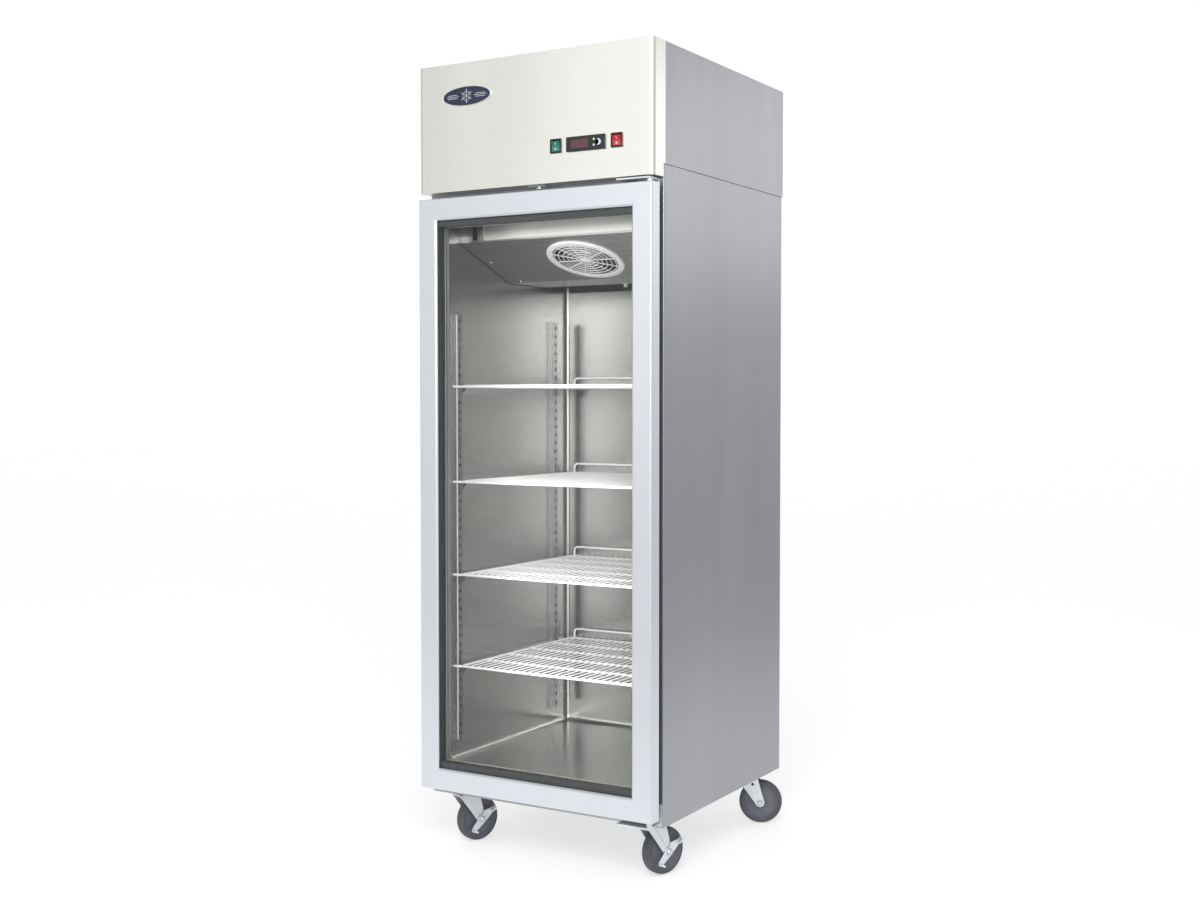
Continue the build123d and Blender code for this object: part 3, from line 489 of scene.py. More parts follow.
def rear_louvres():
    """Pressed hoods behind the slots of the upper rear panel."""
    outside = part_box("upper_rear_panel")[1].y
    hood_r, half = 6.0 * MM, 80 * MM
    hoods = []
    for column in mm(-55, 135):
        for row in range(9):
            z = 1948 * MM + row * 18 * MM
            points = [(x, outside - 1.4 * MM - hood_r * sin(pi * t / 10) * 0.8,
                       z + 5 * MM - hood_r * (1 - cos(pi * t / 10)))
                      for x in (column - half, column + half) for t in range(11)]
            bm = bmesh.new()
            verts = [bm.verts.new(p) for p in points]
            for t in range(10):
                bm.faces.new((verts[t], verts[t + 1], verts[t + 12], verts[t + 11]))
            bmesh.ops.solidify(bm, geom=bm.faces[:], thickness=0.8 * MM)
            hoods.append(mesh_from(bm))
    piece("rear_louvre_hoods", hoods, "galvanised", "cabinet")


def panel_screws():
    """Screws of the rear panels and the top cover."""
    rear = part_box("upper_rear_panel")
    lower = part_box("back_panel")
    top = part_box("top_cover")
    screws = []
    for side in (-1, 1):
        x = side * (rear[1].x - 12 * MM)
        for z in (rear[0].z + 18 * MM, (rear[0].z + rear[1].z) / 2, rear[1].z - 18 * MM):
            screws.append(pan_screw((x, rear[1].y, z), (0, 1, 0), 4 * MM))
        for step in range(7):
            z = lower[0].z + 25 * MM + step * (lower[1].z - lower[0].z - 50 * MM) / 6
            screws.append(pan_screw((x, lower[1].y, z), (0, 1, 0), 4 * MM))
        for step in range(4):
            y = top[0].y + 30 * MM + step * (top[1].y - top[0].y - 60 * MM) / 3
            screws.append(pan_screw((x, y, top[1].z), (0, 0, 1), 4 * MM, up=(0, 1, 0)))
    piece("panel_screws", screws, "screw", "cabinet")


# ---- header and controls ------------------------------------------------------------------
def header():
    soften("header", "header", "header_steel", 0.6, "header_panel")
    soften("black", "header", "dark_plastic", 0.8, "control_housings")
    soften("display", "header", "display", 0.3, "display_window")


def seven_segments(x, z, height, placing_y):
    """The seven segments of one digit as thin plates."""
    width, bar = height * 0.52, height * 0.11
    places = [((0, height / 2), 0), ((0, 0), 0), ((0, -height / 2), 0),
              ((-width / 2, height / 4), 1), ((width / 2, height / 4), 1),
              ((-width / 2, -height / 4), 1), ((width / 2, -height / 4), 1)]
    meshes = []
    for (dx, dz), upright in places:
        length = (height / 2 if upright else width) - bar * 1.1
        half, b = length / 2, bar / 2
        outline = [(-half, 0), (-half + b, -b), (half - b, -b), (half, 0), (half - b, b), (-half + b, b)]
        if upright:
            outline = [(-v, u) for u, v in outline]
        slant = 0.12 * dz
        placing = facing((x + dx + slant, placing_y, z + dz), (0, -1, 0))
        meshes.append(plate([outline], 0.12 * MM, 0.02 * MM, placing, 0))
    return meshes


def display_digits():
    low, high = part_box("display_window")
    middle = (low.z + high.z) / 2
    digits = []
    for step in (-1, 0, 1):
        x = (low.x + high.x) / 2 + step * 13 * MM
        digits += seven_segments(x, middle, 13 * MM, low.y - 0.06 * MM)
    piece("display_digits", digits, "digit", "header")


ROCKER_PIVOT_Y, ROCKER_PIVOT_Z = -390.8 * MM, 1900 * MM
ROCKER_TILT = radians(7)


def rockers():
    """Rocker caps with a moulded bar and ring mark."""
    lean = atan2(1.8, 13.5)
    for node, material, slot in (("power_rocker", "green", "green_plastic"),
                                 ("light_rocker", "red", "red_plastic")):
        low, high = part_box(node)
        pivot = Vector(((low.x + high.x) / 2, ROCKER_PIVOT_Y, ROCKER_PIVOT_Z))
        turn = Matrix.Translation(pivot) @ Matrix.Rotation(ROCKER_TILT, 4, "X")
        marks = []
        for sign, outlines in ((1, [rectangle(1.3 * MM, 6 * MM, 0.3 * MM)]),
                               (-1, [ring(2.8 * MM), ring(1.7 * MM)])):
            face = turn @ facing(mm(0, -5.6 - 0.15, sign * 6.8), (0, -cos(lean), -sign * sin(lean)))
            marks.append(plate(outlines, 0.35 * MM, 0.1 * MM, face, 1))
        piece(f"{node}_cap", [cad_copy(node, 0.9 * MM)], material, node, [node])
        piece(f"{node}_marks", marks, "mark", node)


def control_buttons():
    for node in ("up_button", "down_button", "set_button"):
        soften("key", node, "button_plastic", 0.5, node)


def badge():
    """Domed enamel oval in a silver rim, with a six-armed snowflake between short bars."""
    low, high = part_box("badge")
    centre = (low + high) / 2
    half = (high.x - low.x) / 2
    squash = (high.z - low.z) / (high.x - low.x)
    placing = facing((centre.x, high.y, centre.z), (0, -1, 0)) @ Matrix.Diagonal((1, squash, 1, 1))
    depth = high.y - low.y
    dome = [(half * 0.955, 0.0)] + [(half * 0.955 * cos(t * pi / 20), depth * (0.62 + 0.3 * sin(t * pi / 20)))
                                    for t in range(11)]
    piece("badge_dome", [lathe(dome, placing, 96)], "badge", "header", ["badge"], sharp=60)
    rim = [(half * wide, depth * deep) for wide, deep in
           ((1, 0), (1, 0.7), (0.988, 1), (0.962, 1), (0.95, 0.6), (0.95, 0))]
    silver = [lathe(rim, placing, 96, closed=True)]
    flake_r = (high.z - low.z) * 0.36
    front = facing((centre.x, low.y + 0.02 * MM, centre.z), (0, -1, 0))
    for arm in range(6):
        turned = front @ Matrix.Rotation(arm * pi / 3, 4, "Z")
        bar = [mm(-0.55, 0), mm(0.55, 0), (0.55 * MM, flake_r), (0, flake_r + 0.8 * MM),
               (-0.55 * MM, flake_r)]
        silver.append(plate([bar], 0.5 * MM, 0.12 * MM, turned, 1))
        for side in (-1, 1):
            for along in (0.45, 0.72):
                twig = (turned @ Matrix.Translation((0, along * flake_r, 0))
                        @ Matrix.Rotation(side * pi / 3, 4, "Z"))
                twig_length = flake_r * (0.95 - along) * 0.75
                outline = [mm(-0.4, 0), mm(0.4, 0), (0.4 * MM, twig_length), (-0.4 * MM, twig_length)]
                silver.append(plate([outline], 0.46 * MM, 0.1 * MM, twig, 1))
    for end in (-1, 1):
        dash = facing((centre.x + end * half * 0.56, low.y + 0.1 * MM, centre.z), (0, -1, 0))
        for level, length in ((4.4, 30), (0, 40), (-4.4, 30)):
            bar = rectangle(length * MM, 1.2 * MM, 0.5 * MM, mm(0, level))
            silver.append(plate([bar], 0.5 * MM, 0.12 * MM, dash, 1))
    piece("badge_silver", silver, "silver", "header")


# ---- door ---------------------------------------------------------------------------------
def door():
    soften("door", "door", "door_steel", 0.5, "door_stiles", "door_handle")
    soften("rail", "door", "door_steel", 0.5, "door_rails")
    soften("charcoal", "door", "grey_plastic", 0.8, "glass_retainer", "glass_spacer")
    dress("glass", "glass_panes")
    dress("black", "hinge_bushes")


def door_trim():
    """Bright lip of the retainer behind the glass, and the magnetic bellows gasket."""
    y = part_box("glass_retainer")[1].y
    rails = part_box("door_rails")
    half_w, inset = 363.2 * MM, 59.6 * MM
    lip = [(inset - 3 * MM, y), (inset, y), (inset + 1.6 * MM, y - 0.9 * MM), (inset + 1.6 * MM, y - 2.4 * MM),
           (inset + 0.4 * MM, y - 2.4 * MM), (inset - 3 * MM, y - 1 * MM)]
    lip_frame = frame_loop(lip, half_w, rails[0].z + 16 * MM, rails[1].z - 16 * MM)
    piece("retainer_lip", [lip_frame], "lip", "door")
    low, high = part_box("door_gasket")
    y0, y1 = low.y, high.y
    profile = [(0, y0), (2, y0 + 1.5 * MM), (0.6, y0 + 5 * MM), (3, y0 + 7.5 * MM), (0.6, y0 + 10.5 * MM),
               (2, y1 - 3 * MM), (1, y1 - 1 * MM), (4, y1), (17, y1), (19, y1 - 1.5 * MM), (17.5, y1 - 4 * MM),
               (19.4, y0 + 9 * MM), (16.5, y0 + 6.5 * MM), (20, y0 + 2 * MM), (18, y0)]
    profile = [(a * MM, b) for a, b in profile]
    piece("door_gasket_bellows", [frame_loop(profile, high.x, low.z, high.z)], "seal", "door",
          ["door_gasket"], sharp=80)


# ---- storage space ------------------------------------------------------------------------
# In mm: where the standards' middles are along Y, and their front corners' X and distance ahead of it
STANDARD_Y = (-300, 198)
STANDARD_CORNER = (300.2, 11.3)


def standards_and_clips():
    """Slotted standards with black strips behind the slots as painted shade, rolled corners whose front ones
    are bright trim as a painted highlight, clips, a dark strip on the back wall as painted shadow under the
    evaporator cover, and the cover itself.
    """
    soften("standard", "cabinet", "inner_steel", 0.35, "shelf_pilasters")
    soften("standard", "cabinet", "zinc_steel", 0.3, "shelf_clips")
    low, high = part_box("shelf_pilasters")
    # Black strips inside the standards behind their slots: painted shade of the channels' dark insides.
    bm = bmesh.new()
    for x in (low.x + 8 * MM, -low.x - 9 * MM):
        for y in mm(*STANDARD_Y):
            slab(bm, (x, y - 9 * MM, low.z + 3 * MM), (x + 1 * MM, y + 9 * MM, high.z - 3 * MM))
    piece("standard_slot_painted_shade", [mesh_from(bm)], "black", "cabinet")
    # Rolled corners of the standards; the front ones are in the bright trim colour as a painted highlight, the
    # rear ones keep the standards' own steel.
    x, half = mm(*STANDARD_CORNER)
    for name, y, material in zip(("front", "rear"), mm(*STANDARD_Y), ("lip", "standard")):
        edges = [([(side * x, y - half, low.z + 2 * MM), (side * x, y - half, high.z - 2 * MM)], 2 * MM)
                 for side in (-1, 1)]
        piece(f"standard_{name}_edges", [wires(edges, sides=3)], material, "cabinet")
    # Dark strip on the back wall just under the evaporator cover's rear edge: painted shadow.
    bm = bmesh.new()
    slab(bm, mm(-300, 276.6, 1576), mm(300, 278.2, 1602))
    piece("evaporator_painted_shadow_strip", [mesh_from(bm)], "seal", "cabinet")
    soften("cover", "cabinet", "inner_steel", 0.5, "evaporator_cover", sharp=15)


def shelf(node):
    """White coated wire shelf: rim with front ears, cross wires, top wires turned down in front, stop rail."""
    low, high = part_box(node)
    rim_r, cross_r, top_r = 3.5 * MM, 3.0 * MM, 1.8 * MM
    z = low.z + rim_r
    x, y0, y1 = high.x - rim_r, low.y + rim_r, high.y - rim_r
    corner = 9 * MM
    rim = []
    for sx, sy, turn in ((1, 0, -pi / 2), (1, 1, 0), (-1, 1, pi / 2), (-1, 0, pi)):
        cx, cy = sx * (x - corner), (y1 - corner) if sy else (y0 + corner)
        rim += [(px, py, z) for px, py in ring(corner, 6, (cx, cy), start=turn, sweep=pi / 2)]
    ears = [([(side * (x - 2 * MM), y0, z), (side * (x + 5 * MM), y0 - 5 * MM, z),
              (side * 308.5 * MM, y0 - 5 * MM, z)], rim_r) for side in (-1, 1)]
    parts = [wires([(rim, rim_r)], sides=5, cyclic=True), wires(ears, sides=5)]
    cross_y = [y0 + step * (y1 - y0) / 5 for step in range(1, 5)]
    runs = [([(-x, y, z), (x, y, z)], cross_r) for y in cross_y]
    for index in range(27):
        wx = (index - 13) * 21 * MM
        lift = z + 3.8 * MM
        runs.append(([(wx, y0 - 1.2 * MM, z - 1.2 * MM), (wx, y0 - 1.4 * MM, z + 1.5 * MM),
                      (wx, y0 - 0.2 * MM, z + 3.1 * MM), (wx, y0 + 2.4 * MM, lift), (wx, y1 - 2 * MM, lift),
                      (wx, y1 + 0.6 * MM, z + 2.6 * MM)], top_r))
    parts.append(wires(runs, sides=3))
    stop_x, stop_y, top = x - 14 * MM, y1 - 3 * MM, high.z - cross_r
    bend = 12 * MM
    stop = [(-stop_x, stop_y, z + 1 * MM)]
    for sx, start in ((-1, pi), (1, pi / 2)):
        arc = ring(bend, 6, (sx * (stop_x - bend), top - bend), start=start, sweep=-pi / 2)
        stop += [(px, stop_y, pz) for px, pz in arc]
    stop.append((stop_x, stop_y, z + 1 * MM))
    parts.append(wires([(stop, cross_r)], sides=4))
    piece(f"{node}_wires", parts, "wire", node, [node])


def light_strip():
    """Opal lens with flat front, rounded edges and two end caps."""
    low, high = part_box("interior_light")
    length = high.x - low.x
    middle = ((low.y + high.y) / 2, (low.z + high.z) / 2)
    outline = rectangle(high.y - low.y, high.z - low.z, 3.5 * MM, middle)
    endways = Matrix(((0, 0, 1, high.x), (1, 0, 0, 0), (0, 1, 0, 0), (0, 0, 0, 1)))
    piece("light_lens", [plate([outline], length, 0.4 * MM, endways, 1)], "diffuser", "cabinet",
          ["interior_light"])
    caps = []
    cap = rectangle(high.y - low.y + 0.6 * MM, high.z - low.z + 1 * MM, 3.8 * MM,
                    (middle[0] - 0.3 * MM, middle[1]))
    for x in (high.x + 0.6 * MM, low.x + 2.4 * MM):
        endways[0][3] = x
        caps.append(plate([cap], 3 * MM, 0.5 * MM, endways, 1))
    piece("light_end_caps", caps, "guard", "cabinet")


# The evaporator cover's slope, the level of its flat part in mm, and the point under its fan
COVER_SLOPE = radians(21.36)
COVER_NORMAL = Vector((0, -sin(COVER_SLOPE), -cos(COVER_SLOPE)))
COVER_FLAT = 1586
FAN_SEAT = mm(22, -153.9, 1631.1)


def fan_guard():
    """Moulded guard: broad outer ring, twelve ribs, thin rings and a centre cap."""
    low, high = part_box("fan_guard")
    radius = (high.x - low.x) / 2
    seat = Vector(((low.x + high.x) / 2, *FAN_SEAT[1:])) + COVER_NORMAL * 0.1 * MM
    placing = facing(seat, COVER_NORMAL, (0, 1, 0))
    inner = radius * 0.84
    rim = [(radius, 0), (radius, 2.2 * MM), (radius - 1.6 * MM, 4.2 * MM), (radius - 5 * MM, 5 * MM),
           (inner + 4 * MM, 5 * MM), (inner + 1 * MM, 4.4 * MM), (inner, 3 * MM), (inner, 0)]
    parts = [lathe(rim, placing, 96, closed=True)]
    for r in (24, 37, 50, 63, 76, 88):
        fine = mm_points((r - 1.1, 2.2), (r + 1.1, 2.2), (r + 1.1, 4.2), (r + 0.5, 4.8), (r - 0.5, 4.8),
                         (r - 1.1, 4.2))
        parts.append(lathe(fine, placing, 72, closed=True))
    for rib in range(12):
        turned = placing @ Matrix.Rotation(rib * pi / 6, 4, "Z") @ shift(0, 0, 4.6)
        bar = rectangle(inner - 10 * MM, 2.8 * MM, centre=((inner + 12 * MM) / 2, 0))
        parts.append(plate([bar], 2.6 * MM, 0.5 * MM, turned, 1))
    cap = mm_points((0, 5.4), (8, 5.3), (13, 4.6), (15, 3.2), (15, 1.6), (0, 1.6))
    parts.append(lathe(cap, placing, 48))
    piece("fan_guard_moulding", parts, "guard", "cabinet", ["fan_guard"])
    screws = []
    for step in range(4):
        turned = placing @ Matrix.Rotation(radians(45 + 90 * step), 4, "Z")
        at = turned @ Vector((radius - 8 * MM, 0, 5 * MM))
        screws.append(pan_screw(at, COVER_NORMAL, 3 * MM, (0, 1, 0)))
    piece("fan_guard_screws", screws, "screw", "cabinet")


def axial_fan(node, origin, axis, blades, hub_r, material, width):
    """Fan with swept, twisted blades on a turned hub."""
    low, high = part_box(node)
    radius = (high.x - low.x) / 2 * 1.02  # the curved blades' tips still reach the CAD blades' circle
    placing = facing(origin, axis, (0, 1, 0.01))
    hub = [(r, width * level) for r, level in
           ((4.06 * MM, -0.4), (hub_r - 2 * MM, -0.4), (hub_r, -0.36), (hub_r, 0.3), (hub_r - 3 * MM, 0.4),
            (4.06 * MM, 0.4))]
    parts = [lathe(hub, placing, 48, closed=True)]
    bm = bmesh.new()
    across, along = 8, 8
    for blade in range(blades):
        grid = []
        for i in range(along + 1):
            t = i / along
            r = hub_r - 2 * MM + t * (radius - hub_r + 1 * MM)
            pitch = radians(40 - 18 * t)
            chord = width * (1.15 + 0.75 * t)
            sweep = 0.22 * t * t
            row = []
            for j in range(across + 1):
                s = j / across - 0.5
                bulge = 0.06 * chord * (1 - 4 * s * s)
                along_turn = s * chord * cos(pitch) / r + sweep
                height = s * chord * sin(pitch) + bulge
                angle = 2 * pi * blade / blades + along_turn
                row.append(bm.verts.new((r * cos(angle), r * sin(angle), height)))
            grid.append(row)
        for i in range(along):
            for j in range(across):
                bm.faces.new((grid[i][j], grid[i][j + 1], grid[i + 1][j + 1], grid[i + 1][j]))
    bmesh.ops.solidify(bm, geom=bm.faces[:], thickness=1.2 * MM)
    fan_mesh = mesh_from(bm)
    fan_mesh.transform(placing)
    parts.append(fan_mesh)
    piece(f"{node}_bladed", parts, material, node, [node])


def cover_screws():
    """Screws, dark beads along both sides of the evaporator cover as painted shadow in its gap at the walls,
    and its drain nozzle.
    """
    screws, edge_shadow_beads = [], []
    for side in (-1, 1):
        for x, y in ((286, -165), (264, -46)):
            z = (COVER_FLAT + (-38.5 - y) * tan(COVER_SLOPE)) * MM
            screws.append(pan_screw((side * x * MM, y * MM, z), COVER_NORMAL, 3.4 * MM, (0, 1, 0)))
        screws.append(pan_screw(mm(side * 286, 128, COVER_FLAT), (0, 0, -1), 3.4 * MM, (0, 1, 0)))
        # Dark beads where the cover meets the side walls: painted shadow of the gap.
        edge = [mm(side * 310.2, y, z) for y, z in ((-281.5, 1680.5), (-38.7, 1585.4), (149, 1585.4))]
        edge_shadow_beads.append((edge, 1.5 * MM))
    nozzle = [(0, -2), (8, -2), (8, 1.5), (5.5, 2.5), (5, 10), (3.6, 10), (3.6, 2), (0, 2)]
    seat = facing(mm(-18, 138, COVER_FLAT), (0, 0, -1), (0, 1, 0))
    piece("drain_nozzle", [lathe(mm_points(*nozzle), seat, 32)], "guard", "cabinet")
    piece("cover_edge_painted_shadow", [wires(edge_shadow_beads, sides=2)], "seal", "cabinet")
    piece("cover_screws", screws, "screw", "cabinet")


# ---- condensing unit and evaporator -------------------------------------------------------
def slab(bm, low, high):
    """Plain box between two corners."""
    corners = [bm.verts.new((x, y, z)) for z in (low[2], high[2]) for y in (low[1], high[1])
               for x in (low[0], high[0])]
    for face in ((0, 2, 3, 1), (4, 5, 7, 6), (0, 1, 5, 4), (2, 6, 7, 3), (0, 4, 6, 2), (1, 3, 7, 5)):
        bm.faces.new([corners[i] for i in face])


def rounded(points, radius, steps=6):
    """Points of a route whose corners are arcs."""
    route = [Vector(points[0])]
    for before, at, after in zip(points, points[1:], points[2:]):
        at = Vector(at)
        a, b = (Vector(before) - at).normalized(), (Vector(after) - at).normalized()
        reach = radius / tan(a.angle(b) / 2)
        centre = at + (a + b).normalized() * (radius / sin(a.angle(b) / 2))
        start, end = at + a * reach - centre, at + b * reach - centre
        for step in range(steps + 1):
            t = step / steps
            route.append(centre + (start * (1 - t) + end * t).normalized() * radius)
    route.append(Vector(points[-1]))
    return route


def finned_coil(node, core, pitch, rows, columns, tube_r):
    """Block of thin fins on copper tubes with return bends beyond the end plates."""
    (x0, y0, z0), (x1, y1, z1) = [mm(*corner) for corner in core]
    bm = bmesh.new()
    count = int((x1 - x0) / (pitch * MM))
    for i in range(1, count):
        x = x0 + i * (x1 - x0) / count
        slab(bm, (x - 0.12 * MM, y0 + 1 * MM, z0 + 1 * MM), (x + 0.12 * MM, y1 - 1 * MM, z1 - 1 * MM))
    for x in (x0, x1 - 1.5 * MM):
        slab(bm, (x, y0, z0), (x + 1.5 * MM, y1, z1))
    piece(f"{node}_fins", [mesh_from(bm)], "fin", "cabinet", [node])
    low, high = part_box(node)
    tubes = []
    for column in range(columns):
        y = y0 + (column + 0.5) * (y1 - y0) / columns
        for row in range(rows):
            z = z0 + (row + 0.5) * (z1 - z0) / rows
            tubes.append(([(x0 - 2 * MM, y, z), (x1 + 2 * MM, y, z)], tube_r * MM))
            rise = (z1 - z0) / rows
            if row < rows - 1:
                side = (high.x - tube_r * MM) if row % 2 else (low.x + tube_r * MM)
                edge = x1 if row % 2 else x0
                tubes.append((rounded([(edge, y, z), (side, y, z), (side, y, z + rise), (edge, y, z + rise)],
                                      min(rise * 0.45, abs(side - edge) * 0.9)), tube_r * MM))
    piece(f"{node}_tubes", [wires(tubes, sides=2)], "copper", "cabinet")


def compressor():
    """Hermetic compressor: enamelled shell with a weld flange, terminal cover and bolted feet."""
    piece("compressor_shell", [cad_copy("compressor")], "enamel", "cabinet", ["compressor"])
    squashed = shift(-190, 190, 1935) @ Matrix.Diagonal((1, 74 / 88, 1, 1))
    flange = mm_points((86, -2.2), (91, -2), (92, 0), (91, 2), (86, 2.2))
    cover = plate([rectangle(52 * MM, 60 * MM, 8 * MM)], 26 * MM, 4 * MM,
                  facing(mm(-84, 190, 1905), (1, 0, 0)))
    washer = mm_points((3, 1857.2), (8, 1857.2), (8, 1858.6), (3, 1858.6))
    nut = mm_points((0, 1858.6), (5.5, 1858.6), (5.5, 1862), (4.6, 1863), (0, 1863))
    feet = []
    for x, y in mm_points((-285, 162), (-285, 218), (-95, 162), (-95, 218)):
        feet.append(lathe(washer, Matrix.Translation((x, y, 0)), 24, closed=True))
        feet.append(lathe(nut, Matrix.Translation((x, y, 0)), 6))
    piece("compressor_fittings", [lathe(flange, squashed, 64, closed=True), cover], "enamel", "cabinet")
    piece("compressor_feet_hardware", feet, "zinc", "cabinet")


def refrigerant_lines():
    discharge = [(-150, 258, 1935), (-150, 330, 1935), (-62, 330, 1935), (-62, -290, 1935)]
    suction = [(-190, 265, 1965), (-190, 300, 1965), (-190, 300, 2040), (-330, 300, 2040), (-330, 300, 1842)]
    liquid = [(-62, -290, 2060), (-110, -290, 2060), (-110, -290, 1930), (-110, -160, 1930)]
    discharge, suction, liquid = [[Vector(p) * MM for p in route] for route in (discharge, suction, liquid)]
    parts = [wires([(rounded(discharge, 24 * MM), 4 * MM), (rounded(liquid, 20 * MM), 3.5 * MM)])]
    drier = mm_points((3.5, 0), (6, 3), (11, 12), (11, 96), (6, 107), (0, 110))
    parts.append(lathe(drier, facing(mm(-110, -160.5, 1930), (0, 1, 0)), 32))
    piece("copper_lines", parts, "copper", "cabinet", ["refrigerant_lines"])
    piece("suction_line_sleeve", [wires([(rounded(suction, 16 * MM), 6 * MM)])], "sleeve", "cabinet")


def machine_space():
    soften("galvanised", "cabinet", "galvanised_steel", 0.6, "fan_shroud", "electrical_box")
    soften("black", "cabinet", "dark_plastic", 0.8, "condensate_tray")
    soften("enamel", "cabinet", "black_enamel", 0.8, "fan_motors")
    compressor()
    finned_coil("condenser_coil", ((-40, -318, 1860), (260, -262, 2130)), 3.0, 8, 2, 4.5)
    finned_coil("evaporator_coil", ((-250, 0, 1600), (250, 130, 1716)), 4.0, 4, 3, 4.5)
    refrigerant_lines()
    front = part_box("electrical_box")[0].y
    screws = [pan_screw((x * MM, front, z * MM), (0, -1, 0)) for x in (-332, -198) for z in (1850, 1980)]
    piece("electrical_box_screws", screws, "screw", "cabinet")
    nut = mm_points((4.6, 0), (13, 0), (13, 3.4), (11.8, 4.4), (4.6, 4.4))
    piece("gland_nut", [lathe(nut, facing(mm(-260, 399, 1890), (0, 1, 0)), 6, closed=True)], "black",
          "cabinet")


# ---- casters ------------------------------------------------------------------------------
# Each caster: x and y in mm, the direction it trails in, in degrees, and whether it has a brake
CASTERS = {"front_left": (-298, -277, 70, True), "front_right": (298, -277, 70, True),
           "rear_left": (-298, 314, 160, False), "rear_right": (298, 314, 20, False)}
TRAIL, WHEEL_R = 38, 62.5


def hexagon_nut(placing, radius, height, base=0.0):
    """Nut with a chamfered top; sizes in mm."""
    profile = [(0, base), (radius, base), (radius, base + height * 0.78), (radius * 0.86, base + height),
               (0, base + height)]
    return lathe(mm_points(*profile), placing, 6)


def caster(name, x, y, direction, braked):
    turn = radians(direction)
    trail, up = Vector((cos(turn), sin(turn), 0)), Vector((0, 0, 1))
    across = Matrix((trail, up, trail.cross(up))).transposed().to_4x4()
    across.translation = mm(x, y, 0)
    upright = shift(x, y, 0) @ Matrix.Rotation(turn, 4, "Z")
    axle = across @ shift(TRAIL, WHEEL_R, 0)

    half = [(62.5, 0), (62.4, 6), (61.8, 10), (60.4, 13), (58, 15.2), (55, 16), (50.6, 16)]
    tread = half + [(50.6, -16)] + [(r, -h) for r, h in reversed(half[1:-1])]
    core = [(50.2, 15.9), (47.4, 15.6), (45.6, 12.4), (43, 11.6), (26, 11.6), (20, 12.6), (18.6, 15.4),
            (14.2, 16), (14, 19), (13.2, 19.4), (6.06, 19.4)]
    core += [(r, -h) for r, h in reversed(core)]
    body = f"caster_wheel_{name}"
    piece(f"{body}_tread", [lathe(mm_points(*tread), axle, 96, closed=True)], "tread", body)
    piece(f"{body}_core", [lathe(mm_points(*core), axle, 96, closed=True)], "wheel", body,
          [body])

    body = f"caster_fork_{name}"
    fork = []
    raceway = [(5.6, 137.8), (24, 137.8), (30, 138.6), (31, 140.4), (31, 142), (29.4, 142.8), (29.4, 143.4),
               (30.6, 144.2), (30.6, 146.3), (5.6, 146.3)]
    fork.append(lathe(mm_points(*raceway), upright, 64, closed=True))
    fork.append(plate([rectangle(62 * MM, 46.4 * MM, 4 * MM)], 3.6 * MM, 0.5 * MM,
                      upright @ shift(0, 0, 137.6)))
    outline = hull((TRAIL, WHEEL_R, 13), (28, 134, 3), (-28, 134, 3))
    holes = [ring(6.06 * MM, 32, mm(TRAIL, WHEEL_R))]
    if not braked:
        holes.append(ring(4 * MM, 24, mm(16, 116)))
    for face in mm(23.2, -20):
        fork.append(plate([outline, *holes], 3.2 * MM, 0.5 * MM, across @ Matrix.Translation((0, 0, face))))
    if braked:
        bracket = hull((30, 88, 6), (25, 132, 3.6), (-2, 132, 3.6))
        fork.append(plate([bracket], 2.6 * MM, 0.5 * MM, across @ shift(0, 0, 25.8)))
    piece(f"{body}_pressing", fork, "zinc", body, [body])
    head = 28.2 if braked else 23.4
    bolt = [hexagon_nut(axle, 9.4, 5, head), hexagon_nut(axle @ Matrix.Rotation(pi, 4, "X"), 9.4, 6, 23.4)]
    shank = [(0, -30.5), (4.4, -30.2), (5.4, -29.4), (5.95, -28), (5.95, head), (5.4, head + 6),
             (4.6, head + 6.8), (0, head + 7)]
    bolt.append(lathe(mm_points(*shank), axle, 32))
    piece(f"{body}_axle", bolt, "screw", body)

    bolt_places = [(a, b) for a in (-25, 25) for b in (-38, 38)]
    bolt_holes = [ring(4.5 * MM, 20, place) for place in mm_points(*bolt_places)]
    mount = [plate([rectangle(70 * MM, 96 * MM, 8 * MM), *bolt_holes], 2.9 * MM, 0.4 * MM,
                   shift(x, y, 149.9))]
    pin = [(0, 128), (4.6, 128), (5.45, 129), (5.45, 147.2), (0, 147.2)]
    mount.append(lathe(mm_points(*pin), upright, 32))
    upside_down = Matrix.Rotation(pi, 4, "X")
    mount.append(hexagon_nut(shift(x, y, 133.4) @ upside_down, 9, 4.6))
    washer = mm_points((4, 0), (8.4, 0), (8.4, 1.1), (4, 1.1))
    for a, b in bolt_places:
        at = shift(x + a, y + b, 147) @ upside_down
        mount += [hexagon_nut(at, 6.3, 4.4), lathe(washer, at, 24, closed=True)]
    piece(f"caster_mount_{name}", mount, "zinc", "cabinet")
    if braked:
        brake_lever(name, across)


def brake_lever(name, across):
    """Lever on the axle: a gusseted arm up over the tread and a tongue down, each with a bent tab."""
    hub = (TRAIL, WHEEL_R, 12.5)
    outline = hull(hub, (78, 89.5, 5), hub, (10, 36, 7.5))
    body = f"brake_lever_{name}"
    parts = [plate([outline, ring(6.1 * MM, 32, mm(TRAIL, WHEEL_R))], 3.4 * MM, 0.6 * MM,
                   across @ shift(0, 0, 27.3))]
    gusset = hull((44, 74, 5), (74, 89, 2.5), (46, 84, 3))
    parts.append(plate([gusset], 2.4 * MM, 0.4 * MM, across @ shift(0, 0, 26.9)))
    for (ax, ay), (bx, by) in (((78, 89.5), (68, 82.6)), ((8, 34), (16, 29.5))):
        pad = hull((ax, ay, 3.6), (bx, by, 2.6))
        parts.append(plate([pad], 9 * MM, 0.8 * MM, across @ shift(0, 0, 35.9)))
    piece(f"{body}_pressing", parts, "zinc", body, [body])


def casters():
    for name, values in CASTERS.items():
        caster(name, *values)
    for node in ("caster_plates", "caster_bolts"):
        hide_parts(node)


